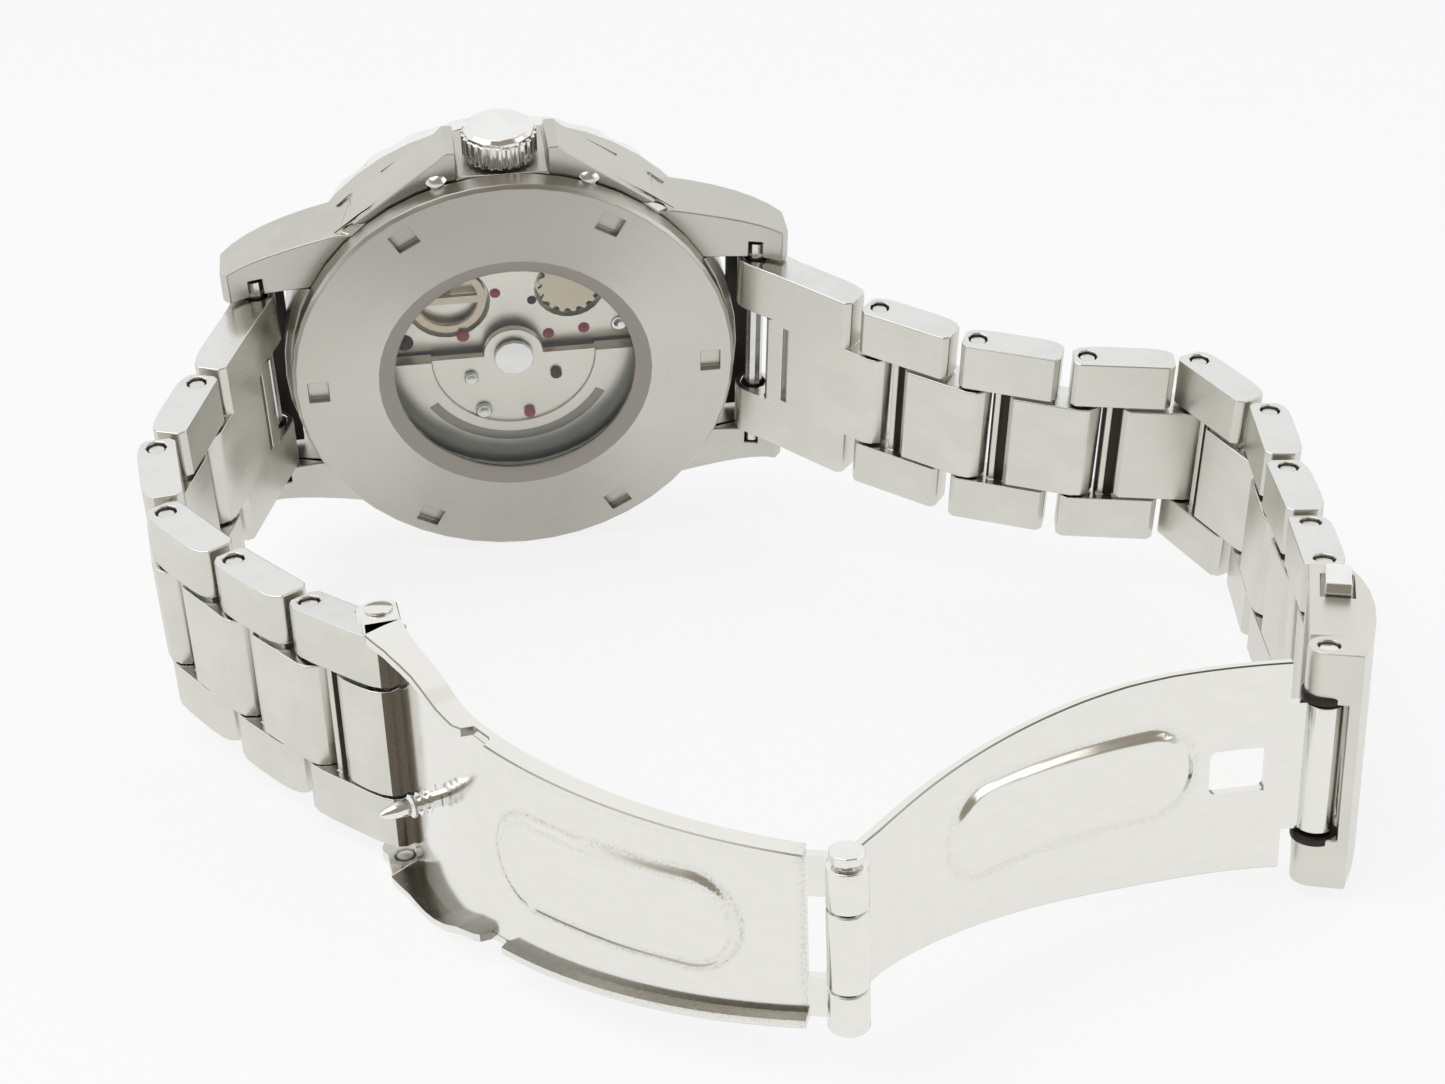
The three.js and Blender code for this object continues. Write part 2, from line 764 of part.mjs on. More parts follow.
// A plain link: two outer rows on their own pin, and a centre block that reaches to the next pin.
function link(width, length) {
  const centreWidth = width * centreShare;
  const rowEnd = length - linkLead - linkGap;
  const sides = rows(rowShape(-linkLead, rowEnd, 0), width, centreWidth);
  const tongueWidth = centreWidth - 2 * seatGap;
  const tongue = solid(centredPrism(tongueShape(centreStart, length, centreProud), tongueWidth,
    linkArcSteps));
  const core = solid(box(centreStart, rowEnd - linkCorner, -webHalfThickness, webHalfThickness,
    -centreWidth / 2 - seatGap, centreWidth / 2 + seatGap));
  return geometryOf(cut(join(sides, tongue, core, crossWeb(centreWidth)),
    pinHole(0, pinHoleRadius), pinHole(length, tonguePinHole)));
}

// The left half's last link: all its rows reach the pivot of the inner blade.
function leftLastLink(width, length) {
  const centreWidth = width * centreShare;
  const rowEnd = length + lugEye - seatGap;
  const sides = rows(rowShape(-linkLead, rowEnd, 0), width, centreWidth);
  const centre = solid(centredPrism(rowShape(centreStart, rowEnd, centreProud),
    centreWidth - 2 * seatGap, linkArcSteps));
  const core = solid(box(centreStart, length - linkLead, -webHalfThickness, webHalfThickness,
    -centreWidth / 2 - seatGap, centreWidth / 2 + seatGap));
  return geometryOf(cut(join(sides, centre, core, crossWeb(centreWidth)),
    pinHole(0, pinHoleRadius), pinHole(length, pinHoleRadius)));
}

// The right half's last link: its outer rows carry a pin at each end.
function rightLastLink(width, length) {
  const centreWidth = width * centreShare;
  const sides = rows(rowShape(-linkLead, length + linkLead, 0), width, centreWidth);
  const blockEnd = length - linkHalfThickness - runningGap;
  const block = box(webStart, blockEnd, -linkHalfThickness, linkHalfThickness,
    -centreWidth / 2 - seatGap, centreWidth / 2 + seatGap);
  return geometryOf(cut(join(sides, solid(block)), pinHole(0, pinHoleRadius),
    pinHole(length, pinHoleRadius)));
}

function linkPin(width) {
  const reach = width / 2 - seatGap;
  return bar(0, 0, linkPinRadius, -reach, reach);
}

// End link: a hook round the spring bar at each side, a slotted body and a tongue.
function endLink() {
  const hookBody = new THREE.Shape();
  hookBody.absarc(0, 0, hookRadius, Math.PI / 2, -Math.PI / 2);
  hookBody.lineTo(endLinkStart + linkLead, -linkHalfThickness);
  hookBody.lineTo(endLinkStart + linkLead, linkHalfThickness);
  const hooks = cut(solid(centredPrism(hookBody, endWidth, arcSteps)),
    solid(box(-linkPitch, endLinkStart + 2 * linkLead, -linkPitch, linkPitch, -hookInner,
      hookInner)));
  const rowEnd = endLinkLength - linkLead - linkGap;
  const body = solid(centredPrism(rowShape(endLinkStart, rowEnd, 0), endWidth, linkArcSteps));
  const centreWidth = firstLinkWidth * centreShare - 2 * seatGap;
  const tongue = solid(centredPrism(tongueShape(endLinkStart + linkLead, endLinkLength, 0),
    centreWidth, linkArcSteps));
  const slot = solid(box(slotStart, slotStart + slotWidth, linkHalfThickness / 2,
    linkHalfThickness + overrun, -slotHeight / 2, slotHeight / 2));
  return geometryOf(cut(join(hooks, body, tongue), slot, pinHole(0, hookBore),
    pinHole(endLinkLength, tonguePinHole)));
}

function springBar() {
  const reach = lugGap / 2 + springBarSocket - seatGap;
  return bar(0, 0, springBarRadius, -reach, reach);
}

// Clasp cover

function claspCover() {
  const end = coverLength + earRadius;
  const start = linkLead + linkGap;
  const shape = new THREE.Shape();
  shape.moveTo(start, coverInnerSide);
  shape.lineTo(start, -linkHalfThickness);
  shape.quadraticCurveTo(coverLength / 2, -coverBulge - linkHalfThickness + coverOuterEnd / 2,
    end, -coverOuterEnd);
  shape.lineTo(end, coverHingeRise);
  shape.absarc(coverLength, coverHingeRise, earRadius, 0, Math.PI);
  shape.lineTo(coverLength - earRadius, coverInnerSide);
  const blank = solid(centredPrism(shape, coverWidth));
  const inside = new THREE.Shape();
  inside.moveTo(start + coverWall, coverInnerSide + 2 * overrun);
  inside.lineTo(start + coverWall, -linkHalfThickness + coverWall);
  inside.quadraticCurveTo(coverLength / 2,
    -coverBulge - linkHalfThickness + coverOuterEnd / 2 + coverWall,
    coverLength - earRadius - seatGap, -coverOuterEnd + coverWall);
  inside.lineTo(coverLength - earRadius - seatGap, coverInnerSide + 2 * overrun);
  const pocket = solid(centredPrism(inside, coverWidth - 2 * coverWall));
  const bladeSlot = solid(box(coverLength - earRadius - overrun, end + overrun,
    -coverOuterEnd + coverWall, coverHingeRise + earRadius + overrun, -earInner, earInner));
  const tongue = new THREE.Shape();
  tongue.moveTo(start + coverWall, -linkHalfThickness);
  tongue.lineTo(start + coverWall, coverInnerSide);
  tongue.lineTo(0, linkHalfThickness);
  tongue.absarc(0, 0, linkHalfThickness, Math.PI / 2, 3 * Math.PI / 2);
  const tongueSolid = solid(centredPrism(tongue, coverTongue, linkArcSteps));
  const hingeHole = solid(bar(coverLength, coverHingeRise, hingePinHole, -coverWidth, coverWidth));
  const window = solid(box(buttonX - buttonLength / 2 - seatGap, buttonX + buttonLength / 2
    + seatGap, -buttonHeight / 2 - seatGap - linkHalfThickness / 2, buttonHeight / 2 + seatGap
    - linkHalfThickness / 2, -coverWidth, coverWidth));
  const hollow = cut(blank, pocket, bladeSlot, hingeHole, window);
  return geometryOf(cut(join(hollow, tongueSolid), pinHole(0, pinHoleRadius)));
}

// Push button with its catch arm. side is +1 or -1 along z, armSide along x from the catch.
function pushButton(side, armSide) {
  const catchX = coverLength - catchFromHinge;
  const outerFace = coverWidth / 2 + buttonProud;
  const level = -linkHalfThickness / 2;
  const cap = box(buttonX - buttonLength / 2, buttonX + buttonLength / 2, level - buttonHeight / 2,
    level + buttonHeight / 2, coverWidth / 2 - coverWall - buttonTravel, outerFace);
  const armX = catchX + armSide * armSideStep;
  const armFrom = -armBack;
  const armTo = -armBack + armThickness;
  const stem = box(buttonX - armWidth, buttonX + armWidth, armFrom, armTo, armBeam,
    coverWidth / 2 - coverWall);
  const beam = box(Math.min(buttonX - armWidth, armX - armWidth / 2),
    Math.max(buttonX + armWidth, armX + armWidth / 2), armFrom, armTo, armBeam,
    armBeam + armWidth);
  const arm = box(armX - armWidth / 2, armX + armWidth / 2, armFrom, armTo,
    -armHook - armWidth / 2, armBeam + armWidth);
  const hookFar = catchX - armSide * postRadius;
  const hook = box(Math.min(hookFar, armX), Math.max(hookFar, armX), armFrom, armTo,
    -armHook - armWidth / 2, -armHook + armWidth / 2);
  const whole = join(solid(cap), solid(stem), solid(beam), solid(arm), solid(hook));
  return geometryOf(side > 0 ? whole : whole.mirror([0, 0, 1]));
}

// Clasp blades

// A blade is an arc in x and y whose pins lie at 0 and at its length along x.
// bow is +1 where the blade bows towards +y and -1 where it bows towards -y.
// Both plates lie on the +y side of the pin circle.
function bladeArc(length, bow, startRadius) {
  const centreX = (length ** 2 + startRadius ** 2 - bladePinCircle ** 2) / (2 * length);
  const centreY = -bow * Math.sqrt(startRadius ** 2 - centreX ** 2);
  const startAngle = -Math.asin(centreX / startRadius);
  const endAngle = Math.asin((length - centreX) / bladePinCircle);
  const plateRadius = bladePinCircle + bow * bladeOffset;
  const angleAt = (along) => startAngle + along / bladePinCircle;
  const at = (along, radius) => [
    centreX + radius * Math.sin(angleAt(along)),
    centreY + bow * radius * Math.cos(angleAt(along)),
  ];
  return {
    length,
    plateRadius,
    at,
    turnAt: (along) => -bow * angleAt(along),
    arcLength: (endAngle - startAngle) * bladePinCircle,
  };
}

// The outer blade's cover pin is in line with its plate, and its other pin is on the circle.
const outerArc = bladeArc(outerBladeLength, 1, bladePinCircle + bladeOffset);
const innerArc = bladeArc(innerBladeLength, -1, bladePinCircle);

// A curved band between two radii, from one distance along the blade to another.
function band(arc, from, to, radiusA, radiusB, width, steps = arcSteps) {
  const low = [];
  const high = [];
  for (let i = 0; i <= steps; i += 1) {
    const along = from + (to - from) * i / steps;
    low.push(arc.at(along, radiusA));
    high.unshift(arc.at(along, radiusB));
  }
  const points = low.concat(high);
  const shape = outline(points);
  if (THREE.ShapeUtils.area(shape.getPoints()) < 0) points.reverse();
  return solid(centredPrism(outline(points), width));
}

function planPrism(points) {
  const reach = bladePinCircle;
  const mirrored = points.slice().reverse().map(([x, half]) => [x, -half]);
  return solid(slab(outline(points.concat(mirrored)), -reach, reach));
}

// A knuckle: a barrel about the pin with a strap that runs tangent to it into the plate.
function knuckle(arc, pinAlong, plateAlong, zFrom, zTo) {
  const pinX = pinAlong > 0 ? arc.length : 0;
  const inner = arc.plateRadius - bladeThickness / 2;
  const outer = arc.plateRadius + bladeThickness / 2;
  const points = [
    arc.at(pinAlong, inner), arc.at(plateAlong, inner),
    arc.at(plateAlong, outer), arc.at(pinAlong, outer),
  ];
  const area = THREE.ShapeUtils.area(outline(points).getPoints());
  const strap = solid(prism(outline(area < 0 ? points.reverse() : points), zFrom, zTo));
  const barrel = solid(bar(pinX, 0, barrelRadius, zFrom, zTo, smallSides));
  return join(barrel, strap);
}

const hingeBore = (x) => solid(bar(x, 0, hingePinHole, -coverWidth, coverWidth));

function stadium(x, z, length, width) {
  const radius = width / 2;
  const straight = length / 2 - radius;
  const shape = new THREE.Shape();
  shape.absarc(x + straight, z, radius, -Math.PI / 2, Math.PI / 2);
  shape.absarc(x - straight, z, radius, Math.PI / 2, 3 * Math.PI / 2);
  return shape;
}

// Pressed groove in the shape of a long loop, on the face turned to the viewer.
function beadGrooveCut(arc, centreX, faceRadius, intoRadius) {
  const loop = stadium(centreX, 0, beadLength, beadWidth);
  const inner = stadium(centreX, 0, beadLength - 2 * beadGroove, beadWidth - 2 * beadGroove);
  loop.holes.push(inner);
  const reach = bladePinCircle;
  const wall = solid(slab(loop, -reach, reach, arcSteps / 2));
  return wall.intersect(band(arc, 0, arc.arcLength, faceRadius, intoRadius, coverWidth));
}

// Outer blade: from the cover's pin to the middle hinge, concave towards the wrist.
function outerBlade() {
  const arc = outerArc;
  const inner = arc.plateRadius - bladeThickness / 2;
  const outer = arc.plateRadius + bladeThickness / 2;
  const along = arc.arcLength;
  const plate = band(arc, outerBladeCoverEdge, along - outerBladeEdge, inner, outer, coverWidth);
  const [startX] = arc.at(outerBladeCoverEdge, inner);
  const [endX] = arc.at(along - outerBladeEdge, inner);
  const plan = planPrism([
    [startX - overrun, outerBladeWide / 2],
    [endX - outerBladeTaper, outerBladeWide / 2],
    [endX - outerBladeNarrowEnd, outerBladeHinge / 2],
    [endX + overrun, outerBladeHinge / 2],
  ]);
  const blank = join(
    plate.intersect(plan),
    knuckle(arc, 0, outerBladeCoverEdge + overrun, -outerTongue / 2, outerTongue / 2),
    knuckle(arc, along, along - outerBladeEdge - overrun, -middleKnuckleHalf,
      middleKnuckleHalf),
  );
  const [catchX] = arc.at(catchFromHinge, arc.plateRadius);
  const hole = solid(slab(outline([
    [catchX - catchHoleLength / 2, -catchHoleHeight / 2],
    [catchX + catchHoleLength / 2, -catchHoleHeight / 2],
    [catchX + catchHoleLength / 2, catchHoleHeight / 2],
    [catchX - catchHoleLength / 2, catchHoleHeight / 2],
  ]), -bladePinCircle, bladePinCircle));
  const groove = beadGrooveCut(arc, outerBeadCentre, inner - overrun, inner + beadDepth);
  return geometryOf(cut(blank, hole, groove, hingeBore(0), hingeBore(outerBladeLength)));
}

// Inner blade: from the last left link to the middle hinge, bowed outwards, with rims and lugs.
function innerBlade() {
  const arc = innerArc;
  const inner = arc.plateRadius - bladeThickness / 2;
  const outer = arc.plateRadius + bladeThickness / 2;
  const along = arc.arcLength;
  const lugOuter = lugInnerHalf + lugSheet;
  const plate = band(arc, lugPlateStart, along - innerBladeEdge, inner, outer, 2 * lugOuter);
  const [plateX] = arc.at(lugPlateStart, inner);
  const [lugX] = arc.at(lugLength, inner);
  const [rimX] = arc.at(rimStart, outer);
  const [endX] = arc.at(along - innerBladeEdge, inner);
  const halfAt = (x) => {
    const share = (x - rimX) / (endX - rimX);
    return (innerBladeWide + (innerBladeHinge - innerBladeWide) * share) / 2;
  };
  const plan = planPrism([
    [plateX - overrun, lugOuter],
    [lugX, lugOuter],
    [lugX, halfAt(rimX)],
    [rimX, halfAt(rimX)],
    [endX + overrun, halfAt(endX + overrun)],
  ]);
  const rimBand = band(arc, rimStart, along - innerBladeEdge, inner, outer + rimHeight,
    coverWidth);
  const rimPlan = planPrism([
    [rimX - overrun, halfAt(rimX - overrun)],
    [endX + overrun, halfAt(endX + overrun)],
  ]);
  const rimCore = planPrism([
    [rimX - 2 * overrun, halfAt(rimX - 2 * overrun) - rimWidth],
    [endX + 2 * overrun, halfAt(endX + 2 * overrun) - rimWidth],
  ]);
  const rims = cut(rimBand.intersect(rimPlan), rimCore);
  const parts = [plate.intersect(plan), rims];
  [-1, 1].forEach((side) => {
    const from = side > 0 ? outerKnuckleStart : -outerKnuckleEnd;
    const to = side > 0 ? outerKnuckleEnd : -outerKnuckleStart;
    parts.push(knuckle(arc, along, along - innerBladeEdge - overrun, from, to));
    parts.push(sideLug(arc, side));
  });
  const [head, ...rest] = parts;
  const groove = beadGrooveCut(arc, innerBeadCentre, outer + overrun, outer - beadDepth);
  const postHole = solid(onPostAxis(arc, revolve([[0, -overrun], [postRadius + seatGap / 2,
    -overrun], [postRadius + seatGap / 2, overrun], [0, overrun]], pinSides)));
  const eyeHole = solid(bar(0, 0, eyePinRadius + seatGap, -coverWidth, coverWidth));
  return geometryOf(cut(join(head, ...rest), groove, postHole, eyeHole,
    hingeBore(innerBladeLength)));
}

// Side lug of the inner blade: a cheek that rises from the plate to the eye of the pivot pin.
function sideLug(arc, side) {
  const edge = arc.plateRadius - bladeThickness / 2;
  const [rootX, rootY] = arc.at(lugPlateStart, edge);
  const [farX, farY] = arc.at(lugLength, edge);
  const [crestX, crestY] = arc.at(lugPlateStart + lugEye, edge + lugEye + bladeOffset + rimHeight);
  const shape = new THREE.Shape();
  shape.moveTo(rootX, rootY);
  shape.lineTo(0, lugEye);
  shape.absarc(0, 0, lugEye, Math.PI / 2, 3 * Math.PI / 2);
  shape.lineTo(crestX, crestY);
  const [lowX, lowY] = arc.at(lugLength, edge + bladeThickness + rimHeight);
  shape.lineTo(lowX, lowY);
  shape.lineTo(farX, farY);
  const from = side > 0 ? lugInnerHalf : -lugInnerHalf - lugSheet;
  return solid(prism(shape, from, from + lugSheet));
}

// The catch post stands where it meets the outer blade's hole when the clasp is shut.
function postAlong() {
  return innerArc.arcLength - (outerArc.arcLength - catchFromHinge);
}

// Moves a solid turned about the y axis onto the post's axis, square to the inner blade.
function onPostAxis(arc, geometry) {
  const along = postAlong();
  const [x, y] = arc.at(along, arc.plateRadius);
  return geometry.rotateZ(Math.PI + arc.turnAt(along)).translate(x, y, 0);
}

function catchPost() {
  const base = -bladeThickness;
  const points = [[0, base], [postRadius, base], [postRadius, bladeThickness / 2 + seatGap]];
  for (let i = 1; i <= postRings; i += 1) {
    const level = bladeThickness / 2 + postRingPitch * i;
    points.push([postRadius, level], [postRing, level + postRingPitch * postRingRiseShare],
      [postRing, level + postRingPitch * postRingTopShare],
      [postRadius, level + postRingPitch * postRingEndShare]);
  }
  points.push([postRadius, postLength * postTaperShare], [postTip, postLength - postTip],
    [postTip / 2, postLength], [0, postLength]);
  return onPostAxis(innerArc, revolve(points, pinSides));
}

function headedPin(x, y, radius, head, zFrom, zTo) {
  const shank = solid(bar(x, y, radius, zFrom, zTo));
  const cap = solid(bar(x, y, head, zTo, zTo + radius));
  return geometryOf(join(shank, cap));
}

// Placing the pieces

// World matrix of a link frame. side is -1 on the left half of the bracelet and +1 on the right.
function linkFrame(side, position, headingDegrees, lean) {
  const heading = THREE.MathUtils.degToRad(headingDegrees);
  const along = new THREE.Vector3(side * Math.cos(heading), -Math.sin(heading), 0);
  const wristward = new THREE.Vector3(-side * Math.sin(heading), -Math.cos(heading), 0);
  const axis = new THREE.Vector3().crossVectors(along, wristward);
  const turn = new THREE.Matrix4().makeBasis(along, wristward, axis);
  const frame = new THREE.Matrix4().makeRotationX(lean).multiply(turn);
  return frame.setPosition(position);
}

function groupAt(matrix, ...meshes) {
  const group = new THREE.Group();
  group.applyMatrix4(matrix);
  if (meshes.length) group.add(...meshes);
  return group;
}

// Frames of one half of the bracelet, starting at its spring bar. The lean dies out from the
// case to the clasp, in steps that bring the chain down to the height of the standing clasp.
function chain(side, start, headings, lengths, leanShares, endHeight) {
  const fall = headings.reduce((sum, heading, i) => (
    sum + lengths[i] * Math.sin(THREE.MathUtils.degToRad(heading)) * leanShares[i]), 0);
  const scale = (start.z - endHeight) / fall;
  let position = start.clone();
  return headings.map((heading, i) => {
    const frame = linkFrame(side, position, heading, Math.asin(leanShares[i] * scale));
    position = new THREE.Vector3(lengths[i], 0, 0).applyMatrix4(frame);
    return { frame, end: position.clone() };
  });
}

function caseFrame() {
  const back = caseRadius - caseChamfer;
  const lowest = Math.max(
    back * Math.cos(caseLean) - caseBackEdge * Math.sin(caseLean),
    caseRadius * Math.cos(caseLean) - (caseBackEdge + caseChamfer) * Math.sin(caseLean),
  );
  return new THREE.Matrix4().makeRotationX(caseLean).setPosition(0, 0, lowest);
}

function buildWatchHead() {
  const postLevels = [0, 1, 2].map((step) => step * handLevel);
  const [hourLevel, minuteLevel, secondLevel] = postLevels;
  const second = hand(secondHandLength, handPost, secondHandLength / 4, secondLevel,
    secondHandTurn);
  return [
    piece('mid_case', midCase(), brushedSteel),
    piece('case_back', caseBack(), brushedSteel),
    piece('back_crystal', backCrystal(), glass),
    piece('back_gasket', backGasket(), rubber),
    piece('crown', crown(), polishedSteel),
    piece('winding_stem', windingStem(), movementSteel),
    piece('bezel', bezel(), polishedSteel),
    piece('bezel_insert', bezelInsert(), bezelPaint),
    piece('front_crystal', frontCrystal(), glass),
    piece('crystal_gasket', crystalGasket(), rubber),
    piece('rehaut_ring', rehautRing(), brushedSteel),
    piece('dial', dial(), dialPaint),
    piece('hour_hand', boredHand(hourHandLength, hourHandWidth, handTail, hourLevel,
      hourHandTurn), polishedSteel),
    piece('minute_hand', boredHand(minuteHandLength, minuteHandWidth, handTail, minuteLevel,
      minuteHandTurn), polishedSteel),
    piece('second_hand', second.turned, polishedSteel),
    piece('movement_ring', movementRing(), movementSteel),
    piece('main_plate', mainPlate(), movementSteel),
    piece('train_bridge', trainBridge(), movementSteel),
    piece('rotor', rotor(), movementSteel),
    piece('rotor_axle', rotorAxle(), movementSteel),
    piece('balance_wheel', balanceWheel(), brass),
    piece('reduction_gear', reductionGear(), brass),
  ];
}

function mix(from, to, share) {
  return from + (to - from) * share;
}

function buildBracelet(root, head) {
  const claspHeight = lugInnerHalf + lugSheet;
  const start = (side) => (
    new THREE.Vector3(side * springBarSpan / 2, springBarDepth, 0).applyMatrix4(head));
  const leftCount = leftHeadings.length - 1;
  const rightCount = rightHeadings.length - 2;
  const pitches = (count, last) => Array(count - 1).fill(linkPitch).concat(last);
  const left = chain(-1, start(-1), leftHeadings,
    [endLinkLength, ...pitches(leftCount, leftLastLength)], leftLeanShares, claspHeight);
  const right = chain(1, start(1), rightHeadings,
    [endLinkLength, ...pitches(rightCount, rightLastLength), coverLength], rightLeanShares,
    claspHeight);
  const endGeometry = endLink();
  root.add(groupAt(left[0].frame, piece('end_link_left', endGeometry, brushedSteel)));
  root.add(groupAt(right[0].frame, piece('end_link_right', endGeometry, brushedSteel)));
  for (let i = 1; i <= leftCount; i += 1) {
    const width = mix(firstLinkWidth, lastLinkWidth, (i - 1) / (leftCount - 1));
    const body = i < leftCount ? link(width, linkPitch) : leftLastLink(width, leftLastLength);
    root.add(groupAt(left[i].frame, piece(`link_left_${i}`, body, brushedSteel),
      piece(`pin_left_${i}`, linkPin(width), polishedSteel)));
  }
  for (let i = 1; i <= rightCount; i += 1) {
    const width = mix(firstLinkWidth, lastLinkWidth, (i - 1) / (rightCount - 1));
    const body = i < rightCount ? link(width, linkPitch) : rightLastLink(width, rightLastLength);
    root.add(groupAt(right[i].frame, piece(`link_right_${i}`, body, brushedSteel),
      piece(`pin_right_${i}`, linkPin(width), polishedSteel)));
  }
  return {
    eye: left[leftCount].end,
    lastLeftFrame: left[leftCount].frame,
    coverFrame: right[rightCount + 1].frame,
  };
}

// The two blades meet where circles about the eye and the cover's blade pin cross.
function middleHingePoint(eye, coverPin) {
  const gap = new THREE.Vector2(coverPin.x - eye.x, coverPin.y - eye.y);
  const span = gap.length();
  const alongGap = (innerBladeLength ** 2 - outerBladeLength ** 2 + span ** 2) / (2 * span);
  const off = Math.sqrt(innerBladeLength ** 2 - alongGap ** 2);
  const unit = gap.divideScalar(span);
  return new THREE.Vector3(eye.x + unit.x * alongGap + unit.y * off,
    eye.y + unit.y * alongGap - unit.x * off, coverPin.z);
}

function headingTo(side, from, to) {
  return THREE.MathUtils.radToDeg(Math.atan2(from.y - to.y, side * (to.x - from.x)));
}

function buildClasp(root, bracelet) {
  const { eye, coverFrame } = bracelet;
  const coverPin = new THREE.Vector3(coverLength, coverHingeRise, 0).applyMatrix4(coverFrame);
  const middle = middleHingePoint(eye, coverPin);
  const outerFrame = linkFrame(1, coverPin, headingTo(1, coverPin, middle), 0);
  const innerFrame = linkFrame(-1, new THREE.Vector3(eye.x, eye.y, coverPin.z),
    headingTo(-1, eye, middle), 0);
  const coverPinReach = lastLinkWidth / 2 - seatGap;
  root.add(groupAt(coverFrame,
    piece('clasp_cover', claspCover(), brushedSteel),
    piece('cover_pin', bar(0, 0, coverPinRadius, -coverPinReach, coverPinReach), polishedSteel),
    piece('cover_hinge_pin', bar(coverLength, coverHingeRise, hingePinRadius,
      -coverWidth / 2 + seatGap, coverWidth / 2 - seatGap), polishedSteel),
    piece('push_button_upper', pushButton(-1, 1), polishedSteel),
    piece('push_button_lower', pushButton(1, -1), polishedSteel)));
  root.add(groupAt(outerFrame, piece('outer_blade', outerBlade(), sheetSteel)));
  const hingeReach = outerKnuckleEnd + runningGap;
  root.add(groupAt(innerFrame,
    piece('inner_blade', innerBlade(), sheetSteel),
    piece('catch_post', catchPost(), polishedSteel),
    piece('middle_hinge_pin', headedPin(innerBladeLength, 0, hingePinRadius,
      barrelRadius - seatGap / 2, -hingeReach, hingeReach), polishedSteel)));
  root.add(groupAt(bracelet.lastLeftFrame, piece('clasp_end_pin', bar(leftLastLength, 0,
    eyePinRadius, -lastLinkWidth / 2, lastLinkWidth / 2), polishedSteel)));
}

const watch = new THREE.Group();
const head = caseFrame();
const watchHead = groupAt(head, ...buildWatchHead());
watch.add(watchHead);
[-1, 1].forEach((side) => {
  const mesh = piece(side < 0 ? 'spring_bar_left' : 'spring_bar_right', springBar(), polishedSteel);
  mesh.position.set(side * springBarSpan / 2, springBarDepth, 0);
  watchHead.add(mesh);
});
buildClasp(watch, buildBracelet(watch, head));

// The origin is on the floor, under the middle of the bounding box.
const bounds = new THREE.Box3().setFromObject(watch, true);
const middle = bounds.getCenter(new THREE.Vector3());
watch.position.set(-middle.x, -middle.y, -bounds.min.z);

export default watch;
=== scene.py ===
"""Dresses the diver's watch: finishes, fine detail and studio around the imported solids."""
import json
import math

import bmesh
import bpy
from bpy.props import FloatProperty, FloatVectorProperty, IntProperty, PointerProperty
from mathutils import Matrix, Vector


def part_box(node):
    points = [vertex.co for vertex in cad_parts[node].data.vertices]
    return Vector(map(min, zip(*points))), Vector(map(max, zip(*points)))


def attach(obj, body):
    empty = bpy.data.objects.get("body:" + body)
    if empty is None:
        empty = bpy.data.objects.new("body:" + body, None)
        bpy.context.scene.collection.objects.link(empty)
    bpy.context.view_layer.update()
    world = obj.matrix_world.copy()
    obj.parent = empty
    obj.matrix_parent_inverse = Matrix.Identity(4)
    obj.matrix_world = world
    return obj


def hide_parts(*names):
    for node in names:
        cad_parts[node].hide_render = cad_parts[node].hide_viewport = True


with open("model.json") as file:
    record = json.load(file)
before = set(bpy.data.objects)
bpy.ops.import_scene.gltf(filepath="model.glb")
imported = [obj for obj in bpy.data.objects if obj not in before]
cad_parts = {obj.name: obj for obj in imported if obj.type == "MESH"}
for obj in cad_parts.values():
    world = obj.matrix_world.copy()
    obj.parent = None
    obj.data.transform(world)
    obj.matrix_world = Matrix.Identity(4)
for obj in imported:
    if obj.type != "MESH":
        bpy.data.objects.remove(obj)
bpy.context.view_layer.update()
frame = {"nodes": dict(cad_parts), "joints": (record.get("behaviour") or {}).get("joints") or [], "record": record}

bl_info = {
    "name": "Diver's Watch",
    "version": (1, 0, 0),
    "blender": (4, 5, 0),
    "location": "View3D > Sidebar > Watch",
    "description": "Finishes, fine detail and studio of a diver's watch on a steel bracelet",
    "category": "Add Mesh",
}

MM = 0.001
JOINTS = {joint["name"]: joint for joint in frame["joints"]}
LINKS_LEFT = 5
LINKS_RIGHT = 7
END_WIDTH = 17.5         # millimetres, of the bracelet at the case
CLASP_WIDTH = 16.0       # and at the clasp
CENTRE_SHARE = 0.53      # of a link's width, for its centre row
PIN_CIRCLE = 36.0        # radius on which the blades' pins lie when the clasp is shut
SHEET_OFFSET = 0.9       # from it to the middle of a blade's sheet
SHEET = 0.6              # thickness of the sheet
CELL = 0.26              # spacing of the pressed sheet's grid


# Places in the watch

def joint_place(name):
    return Vector(JOINTS[name]["pos_m"])


def joint_axis(name):
    return Vector(JOINTS[name]["axis"]).normalized()


def frame_at(origin, x, z):
    """Matrix of a frame in metres, from its origin, its x direction and its z direction."""
    z = z.normalized()
    x = (x - z * x.dot(z)).normalized()
    y = z.cross(x)
    turn = Matrix((x, y, z)).transposed().to_4x4()
    return Matrix.Translation(origin) @ turn


def case_frame():
    """x from six to twelve o'clock, y from the case back to the dial, z towards the crown."""
    axis = joint_axis("bezel_turn")
    x = Vector((1, 0, 0))
    return frame_at(joint_place("bezel_turn"), x, x.cross(axis))


def chain_frames(side, count, extra, end):
    """Frames of one half of the bracelet: x away from the case, y to the wrist, z along a pin."""
    names = [f"end_link_{side}"] + [f"link_{side}_{i}" for i in range(1, count + 1)] + extra
    joints = [f"{name}_turn" for name in names]
    places = [joint_place(joint) for joint in joints] + [end]
    return {
        name: frame_at(places[i], places[i + 1] - places[i], -joint_axis(joints[i]))
        for i, name in enumerate(names)
    }


def link_width(side, place):
    """Width of a link in millimetres, by its place from the case."""
    count = {"left": LINKS_LEFT - 1, "right": LINKS_RIGHT - 1}[side]
    return END_WIDTH + (CLASP_WIDTH - END_WIDTH) * (place - 1) / count


def middle(node):
    low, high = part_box(node)
    return (low + high) / 2


